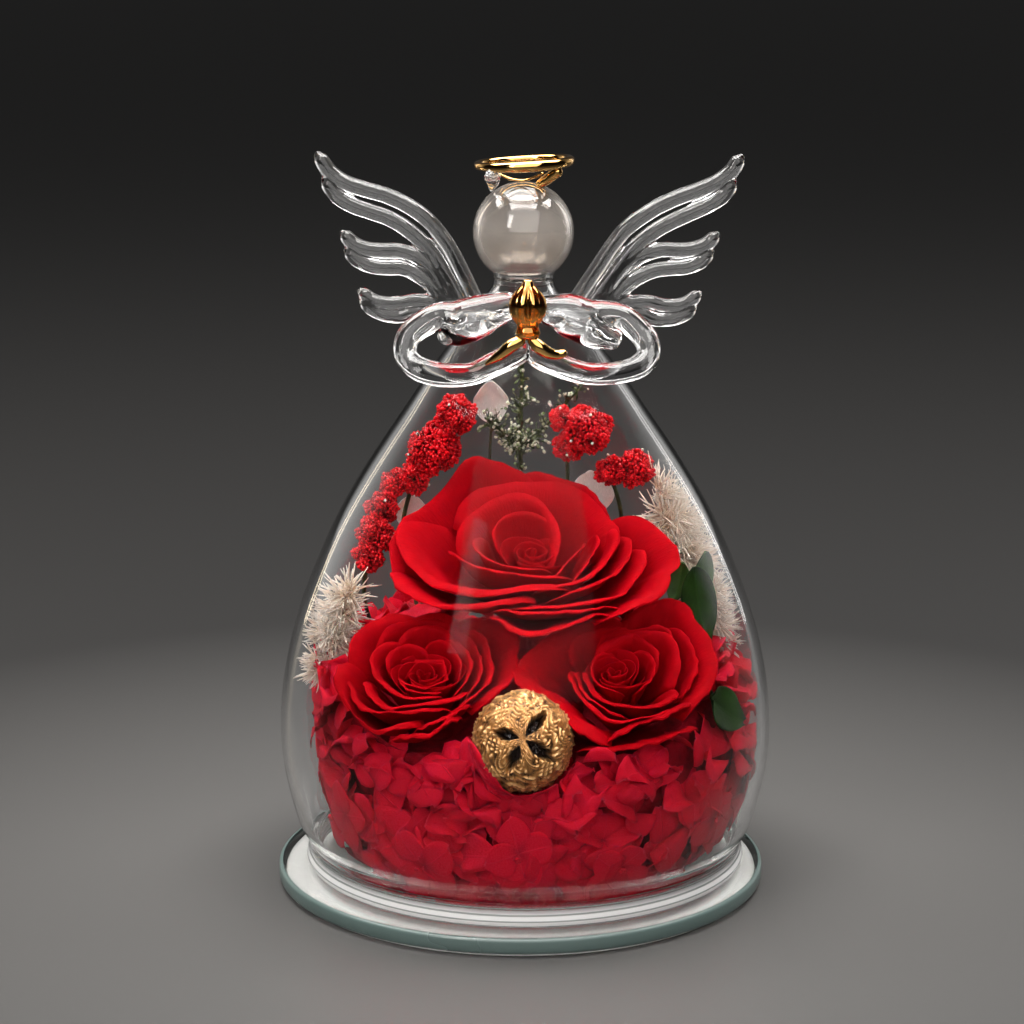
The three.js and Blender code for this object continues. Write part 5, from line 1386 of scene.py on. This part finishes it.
class ROSE_DOME_OT_bed(bpy.types.Operator):
    """Bed of pressed hydrangea petals that fills the dome's foot"""
    bl_idname = "rose_dome.add_bed"
    bl_label = "Hydrangea bed"

    def execute(self, context):
        rng = seeded(context, 100)
        bed = Piece("hydrangea_petal_bed")
        self.mound(bed)
        for step in BED_STEPS:
            radius = bed_point(step, 0)[0][0]
            around = max(6, int(radius * NEARLY_A_TURN / FLORET_SPACING))
            for j in range(around):
                angle = (j + rng.uniform(-0.3, 0.3) + (step * 7 % 1)) / around * TURN
                self.floret(bed, step + rng.uniform(-0.2, 0.2), angle, rng)
        more = seeded(context, 150)
        for step, angle in BED_FILL:
            self.floret(bed, step, math.radians(angle), more)
        bed.build([hydrangea_petal(), petal_shadow()], "hydrangea", "hydrangea_bed")
        for i, (direction, height, size, twist) in enumerate(FLORETS):
            self.single(i, direction, height, size, twist, rng)
        return {"FINISHED"}

    def mound(self, bed):
        grid = []
        for step in np.linspace(0, len(BED_RINGS) - 1.001, 30):
            row = []
            for angle in np.linspace(0, TURN, 73)[:-1]:
                p, normal = bed_point(step, angle)[:2]
                wavy = 0.9 * math.sin(angle * 23 + step * 5) * math.sin(step * 9)
                deep = MOUND_DEPTH + wavy
                row.append(keep_in_bed(p, -deep) if step < 5 else p - normal * deep)
            grid.append(row)
        grid = np.array(grid)
        for _ in range(14):
            grid[inside_a_rose(grid, 1.5), 2] -= 1.2
        grid = np.where((np.linalg.norm(grid - POD_CENTRE, axis=-1) < POD_RADIUS + 0.8)[..., None],
                        outside_pod(grid, 0.8), grid)
        grid[..., 2] = np.maximum(grid[..., 2], PLATE_TOP + 0.4)
        bed.closed(grid, slot=1)

    def floret(self, bed, step, angle, rng):
        step = min(max(step, 0.02), 8.9)
        p, normal = bed_point(step, angle)[:2]
        centre = keep_in_bed(p, -rng.uniform(1.2, 3.4))
        spin = rng.uniform(0, TURN)
        lean = unit(normal + np.array([0, 0, 0.85]) + 0.42 * rng.normal(size=3))
        a = unit(np.cross(lean, [0.3, 0.5, 0.8]))
        b = np.cross(lean, a)
        # Random tone; florets high on the mound, under the roses, get painted shade on top of it.
        tone_and_shade = rng.uniform(0, 0.7) + (0.35 if step > 5.2 else 0.0)
        for k in range(4):
            if rng.random() < MISSING_PETALS:
                continue
            q = spin + k * math.pi / 2 + rng.uniform(-0.25, 0.25)
            out = a * math.cos(q) + b * math.sin(q)
            tilt = rng.uniform(0.1, 0.75)
            length = rng.uniform(*PETAL_LENGTHS)
            width = length * rng.uniform(0.85, 1.15)
            grid = sepal(centre, out + lean * tilt, lean - out * tilt, length, width,
                         rng.uniform(-0.3, 0.6), rng.uniform(-0.25, 0.5), rng)
            grid = outside_pod(keep_in_bed(grid, rng.uniform(-1.2, 1.6)))
            hidden = max(hides(grid, POD_CENTRE, POD_RADIUS - 0.5), hides(grid, LEAF_SPOT, 4.6))
            if inside_a_rose(grid, 0.4).mean() > 0.12 or hidden > 0.06:
                continue
            bed.sheet(grid, SHEET_THICKNESS, tint=np.clip(tone_and_shade + rng.uniform(-0.2, 0.2), 0, 1))

    def single(self, i, direction, height, size, twist, rng):
        piece = Piece(f"hydrangea_floret_{i + 1}_petals")
        a = math.radians(direction)
        step = np.interp(height, [r[1] for r in BED_RINGS[:5]], range(5))
        p, normal, around, up = bed_point(step, a)
        centre = p + normal * 1.4
        side = -around
        for k in range(4):
            q = math.radians(twist) + k * math.pi / 2
            out = side * -math.cos(q) + up * math.sin(q)
            long = size * rng.uniform(0.92, 1.1)
            grid = sepal(centre, out + normal * rng.uniform(-0.05, 0.4), normal, long, long * 0.95,
                         rng.uniform(-0.15, 0.4), rng.uniform(-0.1, 0.3), rng, 14, 13)
            piece.sheet(keep_in_bed(grid, 1.0), SHEET_THICKNESS, tint=rng.uniform(0, 0.5))
        dots = [centre + normal * 0.7 + (side * math.cos(q) + up * math.sin(q)) * 0.55 for q in range(6)]
        piece.balls(dots, [0.42] * 6, tint=0.8)
        piece.build([hydrangea_petal()], "hydrangea", f"hydrangea_floret_{i + 1}")


# Rice-flower sprays

SPRAYS = {
    "spray_left_upper": dict(
        balls=[(-16.1, 10, 114.1, 5.2), (-21.6, 11.5, 105.4, 6.6), (-26.6, 11, 98, 4)],
        stem=[(-27, 11, 97), (-29.5, 14, 84), (-27, 17, 70)]),
    "spray_left_lower": dict(
        balls=[(-31.2, 8, 97.4, 3.6), (-34, 5, 92, 4.2), (-35.6, 2.5, 86, 4.6), (-37.2, 0.5, 80.6, 3.9)],
        stem=[(-37.2, 0.5, 81), (-38.5, 3, 70), (-36, 6, 60)]),
    "spray_right_upper": dict(
        balls=[(16.6, 10.5, 110.3, 6), (10, 12, 112.8, 3.2), (11.8, 13.2, 105.6, 3.8)],
        stem=[(11.4, 13.6, 106.4), (12, 25.5, 92), (11, 27, 76)]),
    "spray_right_lower": dict(
        balls=[(28.1, 8.5, 101, 5), (22.2, 12.5, 99.6, 3.9)],
        stem=[(22.2, 12.5, 99.6), (25.5, 19.5, 86), (24.5, 21.5, 74)]),
}


def even_directions(count, rng):
    """Directions spread evenly over a ball, each a little off."""
    i = np.arange(count) + 0.5
    z = 1 - 2 * i / count
    a = i * math.pi * (3 - math.sqrt(5)) + rng.uniform(0, NEARLY_A_TURN)
    even = turned(np.sqrt(1 - z * z), a, z)
    return unit(even + rng.normal(scale=0.08, size=(count, 3)))


def stem_line(stem, radius):
    """A stem that goes on down into the bed."""
    x, y, _ = stem[-1]
    end = (x * 0.94, y * 0.94, bed_top(x * 0.94, y * 0.94) - 1.5)
    return smooth_line([[*p, radius] for p in list(stem) + [end]], 6)


class ROSE_DOME_OT_sprays(bpy.types.Operator):
    """Sprays of tiny round red buds on green stalks"""
    bl_idname = "rose_dome.add_sprays"
    bl_label = "Rice-flower sprays"

    def execute(self, context):
        for number, (name, spray) in enumerate(SPRAYS.items()):
            rng = seeded(context, 200 + number)
            piece = Piece(name + "_buds")
            piece.tube(stem_line(spray["stem"], 0.55), 8, slot=1)
            for *centre, r in spray["balls"]:
                centre = np.array(centre)
                clusters = even_directions(max(7, int(r * 2.6)), rng) * r * 0.62
                for offset in clusters:
                    size = r * rng.uniform(0.34, 0.44)
                    count = int(18 + size * size * 12.5)
                    d = even_directions(count, rng)
                    places = centre + offset + d * size * rng.uniform(0.78, 1.12, (count, 1))
                    distance = np.linalg.norm(places - centre, axis=1)
                    keep = distance > r * 0.5
                    places, d = places[keep], d[keep]
                    # Buds nearer the ball's middle get a darker tint: painted shade inside the cluster.
                    deep = np.clip((np.linalg.norm(places - centre, axis=1) / r - 0.55) / 0.5, 0, 1)
                    radii = rng.uniform(0.34, 0.62, len(places))
                    tint = np.clip(deep + rng.uniform(-0.2, 0.2), 0, 1)
                    piece.balls(keep_under_glass(places, 0.9), radii, tint=tint, stretch=(d, 1.25))
                    piece.tube([[*centre, 0.22], [*(centre + offset * 0.6), 0.2],
                                [*(centre + offset), 0.18]], 5, slot=1)
                for _ in range(int(r * 0.7)):
                    d = unit(rng.normal(size=3))
                    tip = centre + d * r * 1.05
                    facing = np.cross(d, [0.2, 0.4, 0.9])
                    grid = sepal(centre + d * r * 0.6, d, facing, r * 0.5, 0.8, 0.2, 0.1, rng, 5, 3)
                    piece.sheet(keep_under_glass(grid, 0.8), 0.15, slot=1)
                    piece.balls([tip], [0.4], tint=0.95, slot=2)
            piece.build([rice_bud(), dry_green(), cream_bud()], "berry", name)
        return {"FINISHED"}


# Bristly tufts

CLUMPS_PER_BURR = 11
TUFTS = {
    "tuft_left": dict(
        burrs=[(-39.6, -9.5, 76, 7.6), (-43.6, -9, 68, 6.4), (-46.2, -8.5, 60.5, 6.4), (-47.4, -8, 53, 5.6)],
        stem=[(-39.8, -9.5, 75), (-44, -8, 66), (-46, -6, 58)],
        facing=(0, -0.6, 0.2), bristles=27, thick=0.74),
    "tuft_right": dict(
        burrs=[(30.5, 9, 97.5, 7.6), (33.6, 8, 92, 8.6), (36.6, 7.5, 87, 9.2), (40.4, 6, 80.5, 8.4),
               (44, 5, 73.5, 7.6), (47, 4, 65.5, 6.8), (49, 3, 57.5, 5.6)],
        stem=[(37.6, 8, 90), (44.2, 6, 77), (48, 5, 67), (46.5, 5, 60)],
        facing=(0.1, -0.5, 0.6), bristles=30, thick=0.70),
}


class ROSE_DOME_OT_tufts(bpy.types.Operator):
    """Stiff cream bristles along short stems"""
    bl_idname = "rose_dome.add_tufts"
    bl_label = "Bristle tufts"

    def execute(self, context):
        for number, (name, tuft) in enumerate(TUFTS.items()):
            rng = seeded(context, 300 + number)
            piece = Piece(name + "_bristles")
            piece.tube(stem_line(tuft["stem"], 0.6), 8, tint=0.6)
            spine = np.array([b[:3] for b in tuft["burrs"]])
            size = np.array([b[3] for b in tuft["burrs"]])
            for _ in range(CLUMPS_PER_BURR * len(spine)):
                place = rng.uniform(-0.1, len(spine) - 0.9)
                i = int(np.clip(math.floor(place), 0, len(spine) - 2))
                middle = lerp(spine[i], spine[i + 1], place - i)
                reach = np.interp(place, range(len(spine)), size)
                out = unit(rng.normal(size=3) + np.array(tuft["facing"]))
                for _ in range(tuft["bristles"]):
                    self.bristle(piece, middle + out * reach * 0.3, out, reach * rng.uniform(0.6, 1.15),
                                 tuft["thick"], rng)
            piece.build([dry_bristle()], "bristle", name)
        return {"FINISHED"}

    def bristle(self, piece, root, out, reach, thick, rng):
        d = unit(rng.normal(size=3) + out * 0.7)
        bend = np.cross(d, unit(rng.normal(size=3))) * rng.uniform(0.0, 0.4)
        start = root + rng.normal(scale=0.35, size=3)
        t = np.linspace(0, 1, 5)[:, None]
        line = start + d * reach * t + bend * reach * 0.5 * t ** 2
        radius = np.interp(t[:, 0], [0, 0.2, 0.8, 1], [0.20, 0.32, 0.28, 0.13])
        radius = radius * thick * rng.uniform(0.8, 1.25)
        line = keep_under_glass(line, 0.6)
        if inside_a_rose(line, 0.0).any():
            return
        side = unit(np.cross(d, [0.31, 0.52, 0.79]))
        up = np.cross(d, side)
        a = np.arange(3) / 3 * TURN
        ring = np.outer(np.cos(a), side) + np.outer(np.sin(a), up)
        grid = line[:, None, :] + ring[None] * radius[:, None, None]
        piece.closed(grid, tint=rng.random() ** 2)


# Leaves, sprig and pale petals

BLADE_THICKNESS = 0.35
LEAVES = {
    "leaf_upper": dict(base=(41.2, -12.2, 81), tip=(44.2, -14.5, 63.6), width=8.6, facing=(0.25, -1, 0.25),
                       stem=[(41.4, -12, 80.6), (40.4, -7.5, 76), (42, -3, 60)]),
    "leaf_light": dict(base=(38.9, -10.6, 81.6), tip=(36.4, -12.0, 72.2), width=5.4, facing=(-0.4, -1, 0.4),
                       stem=[(38.9, -9.4, 81.2), (38.6, -5, 77), (40, -1, 62)]),
    "leaf_small": dict(base=(44.2, -8.4, 75), tip=(43.9, -9.4, 84.2), width=4.8, facing=(0.4, -1, 0.2),
                       stem=[(44.6, -6.4, 76.4), (46.5, -4.5, 66), (45.5, -4, 58)]),
    "leaf_lower": dict(base=(44.2, -31, 54), tip=(52.2, -24.2, 46), width=10.6, facing=(0.8, -0.6, 0.3),
                       stem=[(44.3, -30.9, 53.8), (44.6, -28, 54.4), (43.5, -25, 54)]),
}
PALE_PETALS = {
    "pale_petal_left": dict(base=(-27.5, 19, 84), tip=(-27.2, 15.5, 93), width=9,
                            stem=[(-27.4, 18.8, 85), (-26, 20, 76)]),
    "pale_petal_middle": dict(base=(-7.3, 19.5, 111), tip=(-7.6, 15.5, 121.5), width=9,
                              stem=[(-7.3, 19.4, 112), (-8, 26, 92)]),
    "pale_petal_right": dict(base=(18.5, 19, 87), tip=(17.3, 15.4, 99), width=11,
                             stem=[(18.5, 18.8, 88), (18, 24.5, 78)]),
}


def blade(base, tip, width, facing, fold, rng, waves=0.03):
    """Middle surface of a leaf or pale petal, folded along its rib and waved at the edge."""
    base, tip = np.array(base, float), np.array(tip, float)
    along = tip - base
    length = np.linalg.norm(along)
    normal = unit(np.array(facing, float))
    side = unit(np.cross(along, normal))
    normal = np.cross(side, along / length)
    t = np.linspace(0, 1, 26)[:, None]
    u = np.linspace(-1, 1, 17)[None, :]
    half = width / 2 * np.maximum(0.05, np.sin(math.pi * np.clip(t, 0, 1) ** 0.85)) ** 0.62
    lift = (fold * u ** 2 - fold * np.sin(math.pi * t) - 0.35 * bump(u, 0.12) * (1 - t)
            + waves * width * np.sin(t * 9 + rng.uniform(0, 6)) * np.abs(u) ** 2)
    return base + along * t[..., None] + side * (u * half)[..., None] + normal * lift[..., None]


class ROSE_DOME_OT_leaves(bpy.types.Operator):
    """Glossy green leaves between the flowers"""
    bl_idname = "rose_dome.add_leaves"
    bl_label = "Leaves"

    def execute(self, context):
        rng = seeded(context, 400)
        for name, leaf in LEAVES.items():
            piece = Piece(name + "_blade")
            grid = blade(leaf["base"], leaf["tip"], leaf["width"], leaf["facing"], 0.9, rng)
            piece.sheet(grid, BLADE_THICKNESS)
            piece.tube(stem_line(leaf["stem"], 0.42), 8)
            light = name in ("leaf_light", "leaf_small")
            material = light_leaf() if light else dark_leaf()
            piece.build([material], "light_leaf" if light else "dark_leaf", name)
        return {"FINISHED"}


class ROSE_DOME_OT_pale_petals(bpy.types.Operator):
    """Bleached petals that stand behind the roses"""
    bl_idname = "rose_dome.add_pale_petals"
    bl_label = "Pale petals"

    def execute(self, context):
        rng = seeded(context, 500)
        for name, petal in PALE_PETALS.items():
            piece = Piece(name + "_blade")
            grid = blade(petal["base"], petal["tip"], petal["width"], (0, -1, 0.3), 0.8, rng, 0.08)
            piece.sheet(grid, BLADE_THICKNESS)
            piece.tube(stem_line(petal["stem"], 0.4), 8, slot=1)
            piece.build([bleached_petal(), dry_green()], "pale_petal", name)
        return {"FINISHED"}


TWIGS = [
    [(0, 19.5, 103), (-4.5, 16, 108.5), (-8.5, 13, 112.5)],
    [(0, 19.5, 103), (6.2, 18, 109.5), (14.2, 13, 119.6)],
]


class ROSE_DOME_OT_sprig(bpy.types.Operator):
    """Upright green sprig set with small cream buds"""
    bl_idname = "rose_dome.add_sprig"
    bl_label = "Bud sprig"

    def execute(self, context):
        rng = seeded(context, 600)
        piece = Piece("bud_sprig_twigs")
        main = [(0.4, 13, 126.5), (0.1, 17, 113), (0, 21, 98), (0, 27, 82), (0, 27.3, bed_top(0, 27.3) - 1.5)]
        piece.tube(smooth_line([[*p, 0.55] for p in main], 8), 8)
        twigs = [smooth_line([[*p, 0.3] for p in line], 10) for line in TWIGS]
        for line in twigs:
            piece.tube(line, 6)
        self.dress(piece, smooth_line([[*p, 0.4] for p in main[:3]], 8), 40, rng)
        for line in twigs:
            self.dress(piece, line, 50, rng)
        piece.build([dry_green(), cream_bud()], "sprig", "bud_sprig")
        return {"FINISHED"}

    def dress(self, piece, line, count, rng):
        for _ in range(count):
            start = line[rng.integers(2, len(line))][:3]
            d = unit(rng.normal(size=3) + np.array([0, 0, 0.6]))
            length = rng.uniform(1.6, 4.2)
            tip = start + d * length
            piece.tube([[*start, 0.14], [*lerp(start, tip, 0.6), 0.12], [*tip, 0.1]], 5)
            buds = rng.integers(1, 4)
            places = tip + rng.normal(scale=0.5, size=(buds, 3))
            piece.balls(places, rng.uniform(0.22, 0.5, buds), tint=rng.random(buds) ** 1.5, slot=1,
                        stretch=(np.tile(d, (buds, 1)), 1.35))
            leaf = sepal(start, unit(d + rng.normal(scale=0.5, size=3)), np.cross(d, [0.1, 0.9, 0.3]),
                         rng.uniform(1.6, 3.2), 0.9, 0.2, 0.1, rng, 5, 3)
            piece.sheet(leaf, 0.14)


# Stage

LIGHTS_AIM = np.array([0, 0, 0.08])


class ROSE_DOME_OT_stage(bpy.types.Operator):
    """Pale floor, soft studio lights and the camera"""
    bl_idname = "rose_dome.add_stage"
    bl_label = "Stage"

    def execute(self, context):
        self.floor(context)
        self.lights(context)
        self.camera(context)
        return {"FINISHED"}

    def floor(self, context):
        rings = Piece("floor")
        radii = [0, 60, 120, 200, 320, 480, 700, 1000, 1500, 2500, 6000, 30000]
        rings.lathe([[r, 0.0] for r in radii], 96)
        points = np.vstack(rings.points) * MM
        mesh = bpy.data.meshes.new("floor")
        mesh.from_pydata(points.tolist(), [], [q[::-1] for q in np.vstack(rings.quads).tolist()])
        floor = bpy.data.objects.new("floor", mesh)
        context.scene.collection.objects.link(floor)
        merge_poles(floor)
        mesh.materials.append(pale_floor())

    def lights(self, context):
        stage = context.scene.rose_dome_stage
        world = bpy.data.worlds.new("studio")
        context.scene.world = world
        context.scene.view_settings.view_transform = "Standard"
        world.use_nodes = True
        self.room_glow(world.node_tree, stage)
        daylight, warm = (1.0, 0.975, 0.95), (1.0, 0.84, 0.60)
        soft = [
            ("front_top", (0, -0.14, 1.02), (0.84, 0.54), stage.key, daylight),
            ("back_top", (0, 0.34, 1.0), (1.20, 0.55), stage.key * 0.6, daylight),
            ("left_top", (-0.56, 0.22, 0.98), (0.40, 0.40), stage.key * 0.30, daylight),
            ("right_top", (0.56, 0.22, 0.98), (0.40, 0.40), stage.key * 0.30, daylight),
            ("front_fill", (0, -0.85, 0.72), (1.40, 1.10), stage.fill, daylight),
            ("window", (-0.56, -0.80, 0.70), (0.18, 0.56), stage.fill * 0.32, daylight),
            ("sparkle", (0.50, -1.05, 0.92), (0.03, 0.03), stage.key * 0.0015, daylight),
            ("right_back_strip", (0.46, 0.58, 0.24), (0.025, 0.50), stage.key * 0.004, daylight),
            ("left_back_strip", (-0.46, 0.58, 0.24), (0.025, 0.50), stage.key * 0.005, warm),
        ]
        for name, place, size, power, colour in soft:
            data = bpy.data.lights.new(name, "AREA")
            data.shape = "RECTANGLE"
            data.size, data.size_y = size
            data.energy = power
            data.color = colour
            lamp = bpy.data.objects.new(name, data)
            lamp.location = place
            aim = Vector(LIGHTS_AIM - np.array(place))
            lamp.rotation_euler = aim.to_track_quat("-Z", "Y").to_euler()
            context.scene.collection.objects.link(lamp)

    def room_glow(self, tree, stage):
        """Soft light of the room: pale to both sides behind the part, dim elsewhere."""
        g = Graph(tree)

        def spread(value, start, end, low, high):
            return g.range(value, low, high, start, end, interpolation_type="SMOOTHSTEP")
        x, y, z = g.add("SeparateXYZ", {0: g.add("TexCoord").outputs["Generated"]}).outputs
        beside = spread(g.sum("ABSOLUTE", x), 0.35, 0.60, 0.0, stage.side_glow)
        behind = spread(y, 0.30, 0.62, 0.0, 1.0)
        low = spread(z, 0.10, 0.50, 1.0, 0.2)
        glow = g.sum("MULTIPLY", g.sum("MULTIPLY", beside, behind), low)
        rear = spread(y, 0.60, 0.90, 0.006, 0.045)
        back = tree.nodes["Background"]
        g.feed(back.inputs["Color"], (1.0, 0.985, 0.97))
        g.feed(back.inputs["Strength"], g.sum("ADD", glow, rear))

    def camera(self, context):
        data = bpy.data.cameras.new("camera")
        data.sensor_width = CAMERA_SENSOR
        data.lens = CAMERA_SENSOR * FOCAL_PIXELS / PHOTO_PIXELS
        data.clip_start, data.clip_end = 0.01, 20
        camera = bpy.data.objects.new("camera", data)
        camera.location = CAMERA_PLACE
        camera.rotation_euler = (math.radians(90 - CAMERA_DIP), 0, 0)
        context.scene.collection.objects.link(camera)
        context.scene.camera = camera


OPERATORS = [
    ROSE_DOME_OT_base, ROSE_DOME_OT_dome, ROSE_DOME_OT_wings, ROSE_DOME_OT_arms, ROSE_DOME_OT_halo,
    ROSE_DOME_OT_hands, ROSE_DOME_OT_roses, ROSE_DOME_OT_pod, ROSE_DOME_OT_bed, ROSE_DOME_OT_sprays,
    ROSE_DOME_OT_tufts, ROSE_DOME_OT_leaves, ROSE_DOME_OT_sprig, ROSE_DOME_OT_pale_petals, ROSE_DOME_OT_stage,
]


class VIEW3D_PT_rose_dome(bpy.types.Panel):
    bl_label = "Rose Dome"
    bl_idname = "VIEW3D_PT_rose_dome"
    bl_space_type = "VIEW_3D"
    bl_region_type = "UI"
    bl_category = "Rose Dome"

    def draw(self, context):
        for operator in OPERATORS:
            self.layout.operator(operator.bl_idname)
        for group in (getattr(context.scene, name) for name in GROUPS):
            box = self.layout.box()
            for name in group.bl_rna.properties.keys():
                if name not in ("rna_type", "name"):
                    box.prop(group, name)


GROUPS = {
    "rose_dome_glass": RoseDomeGlass,
    "rose_dome_gilding": RoseDomeGilding,
    "rose_dome_flowers": RoseDomeFlowers,
    "rose_dome_stage": RoseDomeStage,
}


def register():
    for name, group in GROUPS.items():
        bpy.utils.register_class(group)
        setattr(bpy.types.Scene, name, PointerProperty(type=group))
    for operator in OPERATORS:
        bpy.utils.register_class(operator)
    bpy.utils.register_class(VIEW3D_PT_rose_dome)


def unregister():
    bpy.utils.unregister_class(VIEW3D_PT_rose_dome)
    for operator in reversed(OPERATORS):
        bpy.utils.unregister_class(operator)
    for name, group in GROUPS.items():
        delattr(bpy.types.Scene, name)
        bpy.utils.unregister_class(group)


def main():
    register()
    for operator in OPERATORS:
        getattr(bpy.ops.rose_dome, operator.bl_idname.split(".")[1])()
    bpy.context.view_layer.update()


if __name__ == "__main__":
    main()
